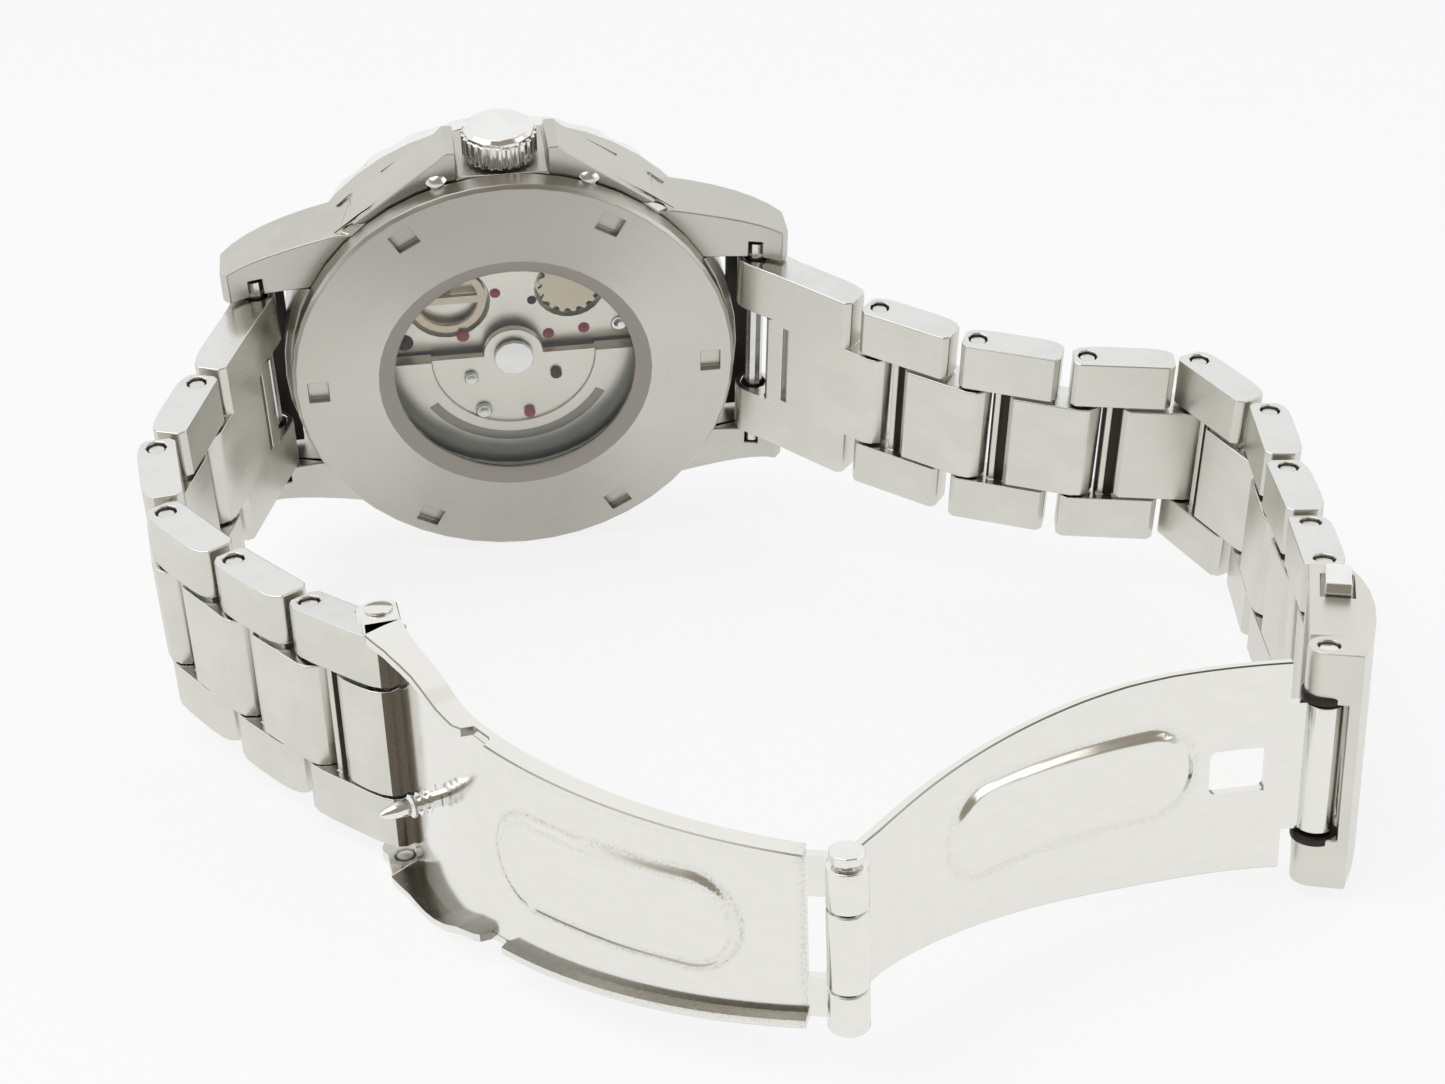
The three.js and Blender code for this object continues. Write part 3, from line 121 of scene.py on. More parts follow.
CASE = case_frame()
EYE = middle("clasp_end_pin")
COVER_PIN = joint_place("outer_blade_fold")
MIDDLE_HINGE = joint_place("inner_blade_fold")
FRAMES = chain_frames("left", LINKS_LEFT, [], EYE)
FRAMES.update(chain_frames("right", LINKS_RIGHT, ["clasp_cover"], COVER_PIN))
FRAMES["outer_blade"] = frame_at(COVER_PIN, MIDDLE_HINGE - COVER_PIN, Vector((0, 0, -1)))
FRAMES["inner_blade"] = frame_at(EYE, MIDDLE_HINGE - EYE, Vector((0, 0, 1)))


class BladeArc:
    """Middle of a blade's sheet: an arc that meets its pins at 0 and at its length along x."""

    def __init__(self, length, bow, start_radius):
        self.length = length
        self.bow = bow
        self.x = (length ** 2 + start_radius ** 2 - PIN_CIRCLE ** 2) / (2 * length)
        self.y = -bow * math.sqrt(start_radius ** 2 - self.x ** 2)
        self.start = -math.asin(self.x / start_radius)
        self.sheet = PIN_CIRCLE + bow * SHEET_OFFSET
        self.reach = (math.asin((length - self.x) / PIN_CIRCLE) - self.start) * PIN_CIRCLE

    def at(self, along, rise, across=0.0):
        """Where a point of the flat blank lies once it is bent; rise is to the open side."""
        angle = self.start + along / PIN_CIRCLE
        radius = self.sheet - self.bow * rise
        return Vector((self.x + radius * math.sin(angle),
                       self.y + self.bow * radius * math.cos(angle), across))


OUTER_ARC = BladeArc(36.4, 1, PIN_CIRCLE + SHEET_OFFSET)
INNER_ARC = BladeArc(39.5, -1, PIN_CIRCLE)


# Shader sums

class Value:
    """A socket of a material's nodes that can stand in a sum."""

    def __init__(self, tree, socket):
        self.tree = tree
        self.socket = socket

    def math(self, operation, *others):
        return node(self.tree, "ShaderNodeMath", {"operation": operation},
                    dict(enumerate((self, *others))))

    def __add__(self, other):
        return self.math("ADD", other)

    def __sub__(self, other):
        return self.math("SUBTRACT", other)

    def __mul__(self, other):
        return self.math("MULTIPLY", other)

    def __truediv__(self, other):
        return self.math("DIVIDE", other)

    def __rsub__(self, other):
        return (self * -1) + other

    def __gt__(self, other):
        return self.math("GREATER_THAN", other)

    __radd__ = __add__
    __rmul__ = __mul__

    def clamped(self):
        return self.math("MAXIMUM", 0).math("MINIMUM", 1)

    def ramp(self, low, high):
        """0 up to low, 1 from high, and a smooth rise between them."""
        return node(self.tree, "ShaderNodeMapRange", {"interpolation_type": "SMOOTHSTEP"},
                    {"Value": self, "From Min": low, "From Max": high})


def node(tree, kind, settings=None, inputs=None, output=0):
    """Adds a node: its settings first, then the values and links of its sockets."""
    made = tree.nodes.new(kind)
    for key, value in (settings or {}).items():
        setattr(made, key, value)
    for key, value in (inputs or {}).items():
        feed(tree, made.inputs[key], value)
    return Value(tree, made.outputs[output])


def feed(tree, socket, value):
    if isinstance(value, Value):
        tree.links.new(value.socket, socket)
    elif socket.type == "RGBA":
        socket.default_value = (*value[:3], 1)
    else:
        socket.default_value = value


def mixed(tree, factor, low, high):
    """A colour between two, by a factor."""
    made = tree.nodes.new("ShaderNodeMix")
    made.data_type = "RGBA"
    feed(tree, made.inputs[0], factor)
    feed(tree, made.inputs[6], low)
    feed(tree, made.inputs[7], high)
    return Value(tree, made.outputs[2])


def scaled(tree, vector, scale):
    return node(tree, "ShaderNodeVectorMath", {"operation": "MULTIPLY"},
                {0: vector, 1: Vector(scale)})


def noise(tree, vector, detail=2.0, roughness=0.5):
    return node(tree, "ShaderNodeTexNoise", {},
                {"Vector": vector, "Scale": 1.0, "Detail": detail, "Roughness": roughness})


def own_place(tree):
    """Place on the piece in its own frame, in millimetres."""
    return node(tree, "ShaderNodeAttribute", {"attribute_name": "place"}, output=1)


def polar_place(tree):
    """Radius in millimetres and angle in turns about the y axis of the piece's own frame."""
    split = tree.nodes.new("ShaderNodeSeparateXYZ")
    feed(tree, split.inputs[0], own_place(tree))
    x, z = Value(tree, split.outputs[0]), Value(tree, split.outputs[2])
    radius = (x * x + z * z).math("SQRT")
    return x, z, radius


def material(name, build):
    """A material whose shader's sockets are given by a build function."""
    made = bpy.data.materials.new(name)
    made.use_nodes = True
    tree = made.node_tree
    shader = tree.nodes["Principled BSDF"]
    for key, value in build(tree).items():
        feed(tree, shader.inputs[key], value)
    return made


def shade(colour, share):
    return tuple(min(1.0, channel * share) for channel in colour[:3])


def bump(tree, height, depth):
    """A normal from a height between 0 and 1 that stands for a depth in millimetres."""
    return node(tree, "ShaderNodeBump", {},
                {"Strength": 1.0, "Distance": depth * MM, "Height": height})


def grained_metal(name, colour, roughness, grain, depth, spread, smudge=0.1):
    """Brushed metal: grain gives the pattern's cycles per millimetre along the piece's axes."""
    def build(tree):
        place = own_place(tree)
        lines = noise(tree, scaled(tree, place, grain), 3.0, 0.6)
        wide = noise(tree, scaled(tree, place, (0.22, 0.31, 0.27)), 2.0)
        patch = wide.ramp(0.35, 0.7)
        tone = (lines * 0.6 + patch * 0.4).clamped()
        return {
            "Base Color": mixed(tree, tone, shade(colour, 1 - spread), shade(colour, 1 + spread / 2)),
            "Metallic": 1.0,
            "Roughness": lines * 0.16 + patch * smudge + (roughness - 0.08 - smudge / 2),
            "Normal": bump(tree, lines, depth),
        }
    return material(name, build)


def circular_metal(name, colour, roughness, depth, spread, sheen_share=0.0):
    """Metal turned on a lathe: fine rings about the case's axis, with a painted sheen that is paler to both sides
    along x and darker between, by the given share.
    """
    def build(tree):
        x, z, radius = polar_place(tree)
        join = node(tree, "ShaderNodeCombineXYZ", {}, {0: radius * 9, 1: x * 0.06, 2: z * 0.06})
        rings = noise(tree, join, 3.0, 0.65)
        wide = noise(tree, scaled(tree, own_place(tree), (0.16, 0.16, 0.16)), 2.0).ramp(0.35, 0.7)
        tone = (rings * 0.7 + wide * 0.3).clamped()
        # Painted sheen: lit copies of the colour to both sides along x, shaded copies between them.
        side = x / (radius + 0.01)
        sheen_lobe = (side * side + side * 0.12).ramp(0.0, 1.0)
        pale = mixed(tree, tone, shade(colour, 1 - spread + sheen_share),
                     shade(colour, 1 + spread / 2 + sheen_share))
        dark = mixed(tree, tone, shade(colour, 1 - spread - sheen_share),
                     shade(colour, 1 + spread / 2 - sheen_share))
        return {
            "Base Color": mixed(tree, sheen_lobe, dark, pale),
            "Metallic": 1.0,
            "Roughness": rings * 0.18 + wide * 0.08 + (roughness - 0.13),
            "Normal": bump(tree, rings, depth),
        }
    return material(name, build)


def polished_metal(name, colour, roughness, wear=0.35):
    """Bright metal with hairline scratches and a little wear."""
    def build(tree):
        place = own_place(tree)
        first = noise(tree, scaled(tree, place, (0.5, 7.0, 1.1)), 4.0, 0.7)
        second = noise(tree, scaled(tree, place, (6.0, 0.6, 1.7)), 4.0, 0.7)
        hairs = first.ramp(0.58, 0.66) * 0.5 + second.ramp(0.6, 0.68) * 0.5
        cloud = noise(tree, scaled(tree, place, (0.35, 0.3, 0.4)), 3.0).ramp(0.4, 0.7)
        return {
            "Base Color": mixed(tree, cloud * 0.6 + hairs * 0.4, colour, shade(colour, 0.93)),
            "Metallic": 1.0,
            "Roughness": hairs * wear * 0.3 + cloud * 0.06 + roughness,
            "Normal": bump(tree, hairs, 0.0012),
        }
    return material(name, build)


def creased_sheet(name, colour, roughness):
    """Bright sheet steel with soft marks from its rolling, and dirt mixed with painted shade in its pressed
    creases.
    """
    def build(tree):
        place = own_place(tree)
        rolled = noise(tree, scaled(tree, place, (0.5, 0.9, 1.2)), 3.0, 0.6)
        specks = noise(tree, scaled(tree, place, (5.0, 5.0, 5.0)), 3.0, 0.7)
        fold_dirt_and_shade = node(tree, "ShaderNodeAttribute", {"attribute_name": "fold_dirt_and_shade"}, output=2)
        dirt_and_shade = (fold_dirt_and_shade * specks.ramp(0.42, 0.7)).clamped()
        tone = mixed(tree, rolled, shade(colour, 0.95), shade(colour, 1.03))
        return {
            # Darker and browner where the mask is high: speckled dirt mixed with painted shade.
            "Base Color": mixed(tree, dirt_and_shade * 0.62 + fold_dirt_and_shade * 0.1, tone, (0.2, 0.175, 0.14)),
            "Metallic": 1.0,
            "Roughness": rolled * 0.12 + dirt_and_shade * 0.35 + (roughness - 0.06),
            "Normal": bump(tree, rolled * 0.7 + specks * 0.3, 0.0012),
        }
    return material(name, build)


def plain_coat(name, colour, roughness, speck=0.04, metallic=0.0, cycles=3.0):
    """Paint, rubber or a plated finish with a fine mottle."""
    def build(tree):
        place = own_place(tree)
        mottle = noise(tree, scaled(tree, place, (cycles,) * 3), 3.0)
        return {
            "Base Color": mixed(tree, mottle, shade(colour, 1 - speck), shade(colour, 1 + speck)),
            "Metallic": metallic,
            "Roughness": mottle * 0.12 + (roughness - 0.06),
            "Normal": bump(tree, mottle, 0.003),
        }
    return material(name, build)


def crystal_glass(name):
    """Clear crystal that shows only its reflections and a few fine marks."""
    def build(tree):
        rim = node(tree, "ShaderNodeFresnel", {}, {"IOR": 1.45})
        marks = noise(tree, scaled(tree, own_place(tree), (1.4, 1.2, 1.3)), 3.0).ramp(0.62, 0.74)
        return {
            "Base Color": (0.86, 0.9, 0.9),
            "Roughness": marks * 0.05 + 0.02,
            "Alpha": (rim * 0.8 + marks * 0.02 + 0.02).clamped(),
        }
    return material(name, build)


# Pieces

def new_piece(name, bm, place, finish, body, stands_for=(), slot=None, edge=0.0,
              smooth=35.0, segments=2, in_metres=False):
    """Makes a mesh in millimetres of its own frame into a piece that rides on a body."""
    into_world = place @ Matrix.Diagonal((MM, MM, MM, 1))
    if in_metres:
        bm.transform(into_world.inverted())
    own = bm.verts.layers.float_vector.new("place")
    for vert in bm.verts:
        vert[own] = vert.co.copy()
    for face in bm.faces:
        face.smooth = True
    limit = math.radians(smooth)
    for line in bm.edges:
        if len(line.link_faces) == 2:
            line.smooth = line.calc_face_angle() < limit
    bm.transform(into_world)
    mesh = bpy.data.meshes.new(name)
    bm.to_mesh(mesh)
    bm.free()
    finishes = finish if isinstance(finish, (list, tuple)) else [finish]
    for each in finishes:
        mesh.materials.append(bpy.data.materials[each])
    made = bpy.data.objects.new(name, mesh)
    bpy.context.scene.collection.objects.link(made)
    if edge:
        soften = made.modifiers.new("edges", "BEVEL")
        soften.width = edge * MM
        soften.segments = segments
        soften.limit_method = "ANGLE"
        soften.angle_limit = math.radians(28)
        soften.harden_normals = True
        soften.use_clamp_overlap = False
    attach(made, body)
    if stands_for:
        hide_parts(*stands_for)
    return made


def node_copy(name):
    """A merged copy of a CAD node's mesh, with its flat faces joined."""
    bm = bmesh.new()
    bm.from_mesh(frame["nodes"][name].data)
    for layer in list(bm.loops.layers.uv.values()):
        bm.loops.layers.uv.remove(layer)
    bmesh.ops.remove_doubles(bm, verts=bm.verts, dist=2e-6)
    bmesh.ops.dissolve_degenerate(bm, dist=2e-6, edges=bm.edges)
    bmesh.ops.dissolve_limit(bm, angle_limit=math.radians(0.6), use_dissolve_boundaries=False,
                             verts=bm.verts, edges=bm.edges)
    return bm


def dress(name, place, finish, body, edge=0.1, smooth=35.0, areas=()):
    """A CAD node with broken edges and its finish, standing for the node.

    areas pairs a finish with a test of a face's corners and normal in the piece's own frame.
    """
    bm = node_copy(name)
    into_own = place.inverted()
    bm.normal_update()
    for face in bm.faces:
        spots = [into_own @ vert.co / MM for vert in face.verts]
        normal = into_own.to_3x3() @ face.normal
        for index, (_, belongs) in enumerate(areas):
            if belongs(spots, normal):
                face.material_index = index + 1
    return new_piece(f"{name}_finished", bm, place, [finish] + [area[0] for area in areas], body,
                     (name,), SLOTS[name], edge, smooth, in_metres=True)


# Shapes, in millimetres of a piece's own frame

def smoothed(value, low, high):
    """0 up to low, 1 from high, and a smooth rise between them."""
    share = min(1.0, max(0.0, (value - low) / (high - low)))
    return share * share * (3 - 2 * share)


def between(value, stops):
    """A value read off straight lines between stops."""
    for (low, first), (high, second) in zip(stops, stops[1:]):
        if value <= high:
            share = max(0.0, (value - low) / (high - low))
            return first + (second - first) * share
    return stops[-1][1]


def rounded(centre, half, radius):
    """Distance to the edge of a rectangle with rounded corners, negative inside."""
    def distance(along, across):
        dx = abs(along - centre[0]) - half[0] + radius
        dy = abs(across - centre[1]) - half[1] + radius
        return math.hypot(max(dx, 0), max(dy, 0)) + min(max(dx, dy), 0) - radius
    return distance


def bevel_edges(bm, edges, width, segments=2):
    bmesh.ops.bevel(bm, geom=edges, offset=width, segments=segments, profile=0.5,
                    affect="EDGES", material=-1)


def add_slab(bm, points, low, high, chamfer=0.0):
    """An outline in x and y, drawn out along z."""
    face = bm.faces.new([bm.verts.new((point[0], point[1], low)) for point in points])
    drawn = bmesh.ops.extrude_face_region(bm, geom=[face], use_keep_orig=True)["geom"]
    verts = [item for item in drawn if isinstance(item, bmesh.types.BMVert)]
    bmesh.ops.translate(bm, verts=verts, vec=(0, 0, high - low))
    caps = [face] + [item for item in drawn if isinstance(item, bmesh.types.BMFace)]
    if chamfer:
        bevel_edges(bm, list({edge for cap in caps for edge in cap.edges}), chamfer, 1)


def add_bar(bm, x, y, radius, low, high, chamfer=0.0, sides=48):
    """A round bar along z."""
    place = Matrix.Translation((x, y, (low + high) / 2))
    made = bmesh.ops.create_cone(bm, cap_ends=True, segments=sides, radius1=radius,
                                 radius2=radius, depth=high - low, matrix=place)["verts"]
    if chamfer:
        rims = {edge for vert in made for edge in vert.link_edges
                if abs(edge.verts[0].co.z - edge.verts[1].co.z) < 1e-6}
        bevel_edges(bm, list(rims), chamfer)


def add_turned(bm, profile, steps=96, centre=(0, 0, 0), axis=(0, 1, 0), out=(1, 0, 0)):
    """A profile of radius and height, turned about an axis."""
    centre, axis, out = Vector(centre), Vector(axis), Vector(out)
    line = [bm.verts.new(centre + out * radius + axis * height) for radius, height in profile]
    edges = [bm.edges.new(pair) for pair in zip(line, line[1:])]
    bmesh.ops.spin(bm, geom=line + edges, cent=centre, axis=axis, dvec=(0, 0, 0),
                   angle=2 * math.pi, steps=steps, use_merge=True, use_duplicate=False)
    bmesh.ops.remove_doubles(bm, verts=bm.verts, dist=1e-4)


def closed_up(bm):
    bmesh.ops.recalc_face_normals(bm, faces=bm.faces)
    return bm


def pressed_sheet(arc, first, last, rows, levels, fold_dirt_and_shade, holes=()):
    """A blade's sheet: a grid spread over the blank, pierced, pressed, thickened and bent.

    The steep and the narrow faces along its outline and its rims take the second finish, a dark steel that is
    painted shade.
    """
    columns = math.ceil((last - first) / CELL)
    spots = [first + (last - first) * i / columns for i in range(columns + 1)]
    spread = [rows(along) for along in spots]
    count = len(spread[0]) - 1
    bm = bmesh.new()
    dirt_and_shade = bm.verts.layers.float.new("fold_dirt_and_shade")
    bmesh.ops.create_grid(bm, x_segments=columns, y_segments=count, size=1)
    for vert in bm.verts:
        column = round((vert.co.x + 1) / 2 * columns)
        row = round((vert.co.y + 1) / 2 * count)
        vert.co = (spots[column], spread[column][row], 0)
    for hole in holes:
        inside = [face for face in bm.faces if hole(*face.calc_center_median().xy) < 0]
        bmesh.ops.delete(bm, geom=inside, context="FACES")
        for vert in bm.verts:
            along, across = vert.co.xy
            gap = hole(along, across)
            if vert.is_boundary and abs(gap) < 1.5 * CELL:
                step = 0.01
                way = Vector((hole(along + step, across) - gap, hole(along, across + step) - gap))
                vert.co.xy -= way.normalized() * gap
    drawn = bmesh.ops.extrude_face_region(bm, geom=bm.faces[:], use_keep_orig=True)["geom"]
    lifted = {item for item in drawn if isinstance(item, bmesh.types.BMVert)}
    for vert in bm.verts:
        along, across = vert.co.xy
        low, high = levels(along, across)
        # The mask of dirt mixed with painted shade, read by the sheet's material.
        vert[dirt_and_shade] = fold_dirt_and_shade(along, across)
        vert.co = arc.at(along, high if vert in lifted else low, across)
    for face in bm.faces:
        sides = sorted(edge.calc_length() for edge in face.edges)
        is_wall = len({vert in lifted for vert in face.verts}) == 2
        if not is_wall and (sides[0] < 0.16 or sides[-1] > 0.5):
            face.material_index = 1
    return closed_up(bm)


def edged_rows(half, lines, count):
    """Rows across a blank: lines near both edges, and even rows between them."""
    inner = half - lines[-1]
    outer = [half - line for line in lines[:-1]]
    even = [inner * (2 * i / count - 1) for i in range(count + 1)]
    return [-value for value in outer] + even + outer[::-1]


def body_of(name):
    return next(body for body, nodes in BODIES.items() if name in nodes)


BODIES = frame["record"]["behaviour"]["bodies"]
SLOTS = {entry["node"]: entry["material_slot"] for entry in frame["record"]["subparts"]}


# What a user would change

class WatchSteel(bpy.types.PropertyGroup):
    """Colours and roughness of the metals."""
    brushed: FloatVectorProperty(name="Brushed steel", description="Links, case and cover",
                                 default=(0.73, 0.72, 0.66), size=3, subtype="COLOR")
    # The case back's colour is darker than the case's steel: partly its rough turned finish, partly painted shade.
    back: FloatVectorProperty(name="Case back", description="Turned ring of the case back",
                              default=(0.54, 0.525, 0.48), size=3, subtype="COLOR")
    polished: FloatVectorProperty(name="Polished steel", description="Crown, pins and bezel",
                                  default=(0.86, 0.855, 0.84), size=3, subtype="COLOR")
    flank: FloatVectorProperty(name="Link flank", description="Polished sides of the links",
                               default=(0.76, 0.76, 0.745), size=3, subtype="COLOR")
    sheet: FloatVectorProperty(name="Sheet steel", description="Blades of the clasp",
                               default=(0.83, 0.825, 0.785), size=3, subtype="COLOR")
    # The movement's pale colour is partly its own finish and partly a painted reflection of the back crystal.
    movement: FloatVectorProperty(name="Movement", description="Plates and rotor",
                                  default=(0.92, 0.89, 0.81), size=3, subtype="COLOR")
    brushed_roughness: FloatProperty(name="Brushed roughness", description="Links and case",
                                     default=0.34, min=0.05, max=1.0, subtype="FACTOR")
    edge: FloatProperty(name="Broken edge", description="Width of a link's broken edges, in mm",
                        default=0.12, min=0.0, max=0.4)


class WatchStudio(bpy.types.PropertyGroup):
    """Camera, floor and light."""
    lens: FloatProperty(name="Lens", description="Focal length on a 36 mm sensor",
                        default=54.86, unit="CAMERA")
    camera_from_case: FloatVectorProperty(
        name="Camera place", description="Place from the centre of the case back, in metres",
        default=(-0.0072, -0.1791, 0.0633), size=3, subtype="XYZ")
    yaw: FloatProperty(name="Yaw", description="Turn of the view towards twelve o'clock",
                       default=math.radians(7.77), subtype="ANGLE")
    pitch: FloatProperty(name="Pitch", description="How far the view looks down",
                         default=math.radians(24.03), subtype="ANGLE")
    roll: FloatProperty(name="Roll", description="Roll of the camera",
                        default=math.radians(-2.18), subtype="ANGLE")
    floor: FloatVectorProperty(name="Floor", description="Colour of the floor",
                               default=(0.93, 0.93, 0.93), size=3, subtype="COLOR")
    sky: FloatProperty(name="Sky", description="Strength of the light from all round",
                       default=0.55, min=0.0, max=2.0)
    room: FloatProperty(name="Room", description="Brightness of the room behind the camera",
                        default=0.32, min=0.0, max=1.0, subtype="FACTOR")
    key: FloatProperty(name="Key light", description="Power of the main soft lamp",
                       default=1.3, min=0.0, max=50.0, unit="POWER")
    fill: FloatProperty(name="Fill light", description="Power of the side lamp",
                        default=0.5, min=0.0, max=50.0, unit="POWER")


class WATCH_OT_finishes(bpy.types.Operator):
    """Make the materials of the watch"""
    bl_idname = "watch.finishes"
    bl_label = "Finishes"

    def execute(self, context):
        steel = context.scene.watch_steel
        brushed, rough = tuple(steel.brushed), steel.brushed_roughness
        grained_metal("Link brushed lengthwise", brushed, rough, (0.35, 9.0, 9.0), 0.006, 0.14)
        # The case's steel is a darker copy of the links' steel: painted shade.
        grained_metal("Case brushed", shade(brushed, 0.82), rough, (0.5, 0.5, 8.0), 0.005, 0.12)
        grained_metal("Cover brushed", brushed, rough, (0.4, 8.0, 8.0), 0.005, 0.12)
        creased_sheet("Blade sheet", tuple(steel.sheet), 0.14)
        # The case back's pale sides are a painted sheen.
        circular_metal("Turned case back", tuple(steel.back), 0.33, 0.006, 0.12, 0.15)
        circular_metal("Turned movement", tuple(steel.movement), 0.36, 0.003, 0.08)
        polished_metal("Polished steel", tuple(steel.polished), 0.1)
        polished_metal("Rough pin steel", shade(tuple(steel.polished), 0.85), 0.22)
        polished_metal("Polished flank", tuple(steel.flank), 0.2, 0.5)
        # The last link's end face: dark brown steel as painted shade.
        plain_coat("Painted shade end steel", (0.13, 0.11, 0.085), 0.42, 0.3, metallic=1.0)
        # Black for pieces of painted shade in the links' slots, the lug gaps, the cover's recesses and dark spots
        # in the movement.
        plain_coat("Dark slot", (0.05, 0.045, 0.04), 0.5, metallic=1.0)
        # Dark steel for painted shade at the case back's window ring and the rotor's groove.
        plain_coat("Dark edge steel", (0.3, 0.28, 0.25), 0.3, metallic=1.0)
        # Dark steel on the blades' edges and rims, as painted shade.
        plain_coat("Blade painted shade edge", (0.3, 0.29, 0.26), 0.25, 0.2, metallic=1.0)
        plain_coat("Brass wheel", (0.62, 0.55, 0.42), 0.3, metallic=1.0)
        plain_coat("Dark rubber", (0.012, 0.012, 0.012), 0.7)
        plain_coat("Black dial", (0.006, 0.007, 0.009), 0.42)
        plain_coat("Black bezel insert", (0.005, 0.006, 0.008), 0.2)
        plain_coat("Pale lume", (0.62, 0.68, 0.58), 0.6)
        plain_coat("White print", (0.75, 0.76, 0.74), 0.5)
        plain_coat("Ruby", (0.42, 0.02, 0.05), 0.12)
        crystal_glass("Clear crystal")
        return {"FINISHED"}


class WATCH_OT_head(bpy.types.Operator):
    """Finish the case, its back, the crown and the bezel"""
    bl_idname = "watch.head"
    bl_label = "Watch head"

    def execute(self, context):
        for name, finish, edge in (
            ("mid_case", "Case brushed", 0.15),
            ("case_back", "Turned case back", 0.08),
            ("back_crystal", "Clear crystal", 0.0),
            ("front_crystal", "Clear crystal", 0.0),
            ("back_gasket", "Dark rubber", 0.0),
            ("crystal_gasket", "Dark rubber", 0.0),
            ("rehaut_ring", "Turned case back", 0.0),
            ("dial", "Black dial", 0.0),
            ("movement_ring", "Turned movement", 0.0),
            ("main_plate", "Turned movement", 0.0),
            ("train_bridge", "Turned movement", 0.08),
            ("rotor_axle", "Polished steel", 0.05),
            ("rotor", "Turned movement", 0.08),
            ("balance_wheel", "Brass wheel", 0.0),
            ("reduction_gear", "Brass wheel", 0.0),
            ("hour_hand", "Polished steel", 0.0),
            ("minute_hand", "Polished steel", 0.0),
            ("second_hand", "Polished steel", 0.0),
            ("winding_stem", "Rough pin steel", 0.0),
            ("crown", "Polished steel", 0.06),
            ("bezel", "Polished steel", 0.08),
            ("bezel_insert", "Black bezel insert", 0.0),
            ("spring_bar_left", "Rough pin steel", 0.0),
            ("spring_bar_right", "Rough pin steel", 0.0),
        ):
            areas = ()
            if name == "case_back":
                areas = (("Dark edge steel", self.is_window_edge),)
            dress(name, CASE, finish, body_of(name), edge, areas=areas)
        for side, word in ((-1, "left"), (1, "right")):
            # Between each pair of lugs, a plate that stands for the end link's filling; its faces other than the
            # one towards the dial are painted shade.
            bm = bmesh.new()
            ends = sorted((side * 18.9, side * 22.2))
            add_slab(bm, [(ends[0], 5.1), (ends[1], 5.1), (ends[1], 5.7), (ends[0], 5.7)],
                     -8.8, 8.8, 0.1)
            closed_up(bm)
            for face in bm.faces:
                face.material_index = int(face.normal.y > 0.5)
            new_piece(f"lug_floor_{word}", bm, CASE, ("Dark slot", "Case brushed"),
                      body_of("mid_case"))
            bm = bmesh.new()
            x, z = self.facets[word]
            profile = [(0, 0.32), (0.45, 0.27), (0.75, 0.12), (0.95, -0.15), (0.95, -0.5), (0, -0.5)]
            add_turned(bm, profile, 40, (x, 2.5, z), Vector((side * 0.15, -0.4, 1)).normalized(),
                       (1, 0, -side * 0.15))
            new_piece(f"guard_facet_{word}", closed_up(bm), CASE, "Polished flank",
                      body_of("mid_case"))
        return {"FINISHED"}

    facets = {"left": (-5.45, 18.75), "right": (7.05, 18.15)}

    @staticmethod
    def is_window_edge(spots, normal):
        """The bevelled ring round the window of the case back, dark with painted shade."""
        return max(math.hypot(spot.x, spot.z) for spot in spots) < 11.9 and \
            min(spot.y for spot in spots) < 1.5


class WATCH_OT_movement(bpy.types.Operator):
    """Set the jewels and screws that show through the back, dark studs of painted shade, and a dark band of
    painted shade in the rotor's groove
    """
    bl_idname = "watch.movement"
    bl_label = "Movement detail"

    # The dark studs are spots of painted shade.
    # x and z in the case's frame, radius, finish
    on_bridge = ((-4.2, 1.4, 0.55, "Ruby"), (3.2, 1.0, 0.5, "Ruby"), (6.3, 1.3, 0.5, "Ruby"),
                 (-9.3, 1.2, 0.8, "Dark slot"), (9.4, 1.5, 0.75, "Polished steel"),
                 (0.4, 8.6, 0.75, "Polished steel"), (-1.2, 5.6, 0.45, "Ruby"),
                 (-8.9, 6.4, 0.6, "Polished steel"), (1.9, 4.6, 0.4, "Dark slot"))
    on_rotor = ((-3.8, -2.0, 0.6, "Polished flank"), (-2.9, -5.6, 0.7, "Polished flank"),
                (1.1, -6.2, 0.5, "Ruby"), (3.6, -2.2, 0.5, "Dark slot"))
    groove = (8.1, 9.0)
    groove_turn = math.radians(118)

    def execute(self, context):
        bridge = min(corner for corner in self.depths("train_bridge"))
        rotor = min(corner for corner in self.depths("rotor"))
        for carrier, top, spots in (("train_bridge", bridge, self.on_bridge),
                                    ("rotor", rotor, self.on_rotor)):
            for i, (x, z, radius, finish) in enumerate(spots):
                bm = bmesh.new()
                rise = 0.14
                profile = [(0, 0.1), (radius * 0.35, 0.1), (radius * 0.5, rise),
                           (radius * 0.88, rise), (radius, rise - 0.07), (radius, -0.2), (0, -0.2)]
                add_turned(bm, profile, 32, (x, top, z), (0, -1, 0))
                new_piece(f"{carrier}_stud_{i}", closed_up(bm), CASE, finish, body_of(carrier))
        # The rotor's groove is a dark band of painted shade.
        bm = bmesh.new()
        low, high = self.groove
        turn = Matrix.Rotation(math.radians(30), 4, "Y")
        corners = [turn @ Vector((radius, top, 0)) for radius, top in
                   ((low, rotor - 0.03), (high, rotor - 0.03), (high, rotor + 0.2),
                    (low, rotor + 0.2))]
        face = bm.faces.new([bm.verts.new(corner) for corner in corners])
        bmesh.ops.spin(bm, geom=[face] + face.edges[:] + face.verts[:], cent=(0, 0, 0),
                       axis=(0, 1, 0), dvec=(0, 0, 0), angle=self.groove_turn, steps=48,
                       use_merge=False, use_duplicate=False)
        new_piece("rotor_groove_shade", closed_up(bm), CASE, "Dark edge steel", body_of("rotor"))
        return {"FINISHED"}

    @staticmethod
    def depths(name):
        """Depths in the case's frame of a node's points."""
        back = CASE.inverted()
        return [(back @ vert.co).y / MM for vert in frame["nodes"][name].data.vertices]


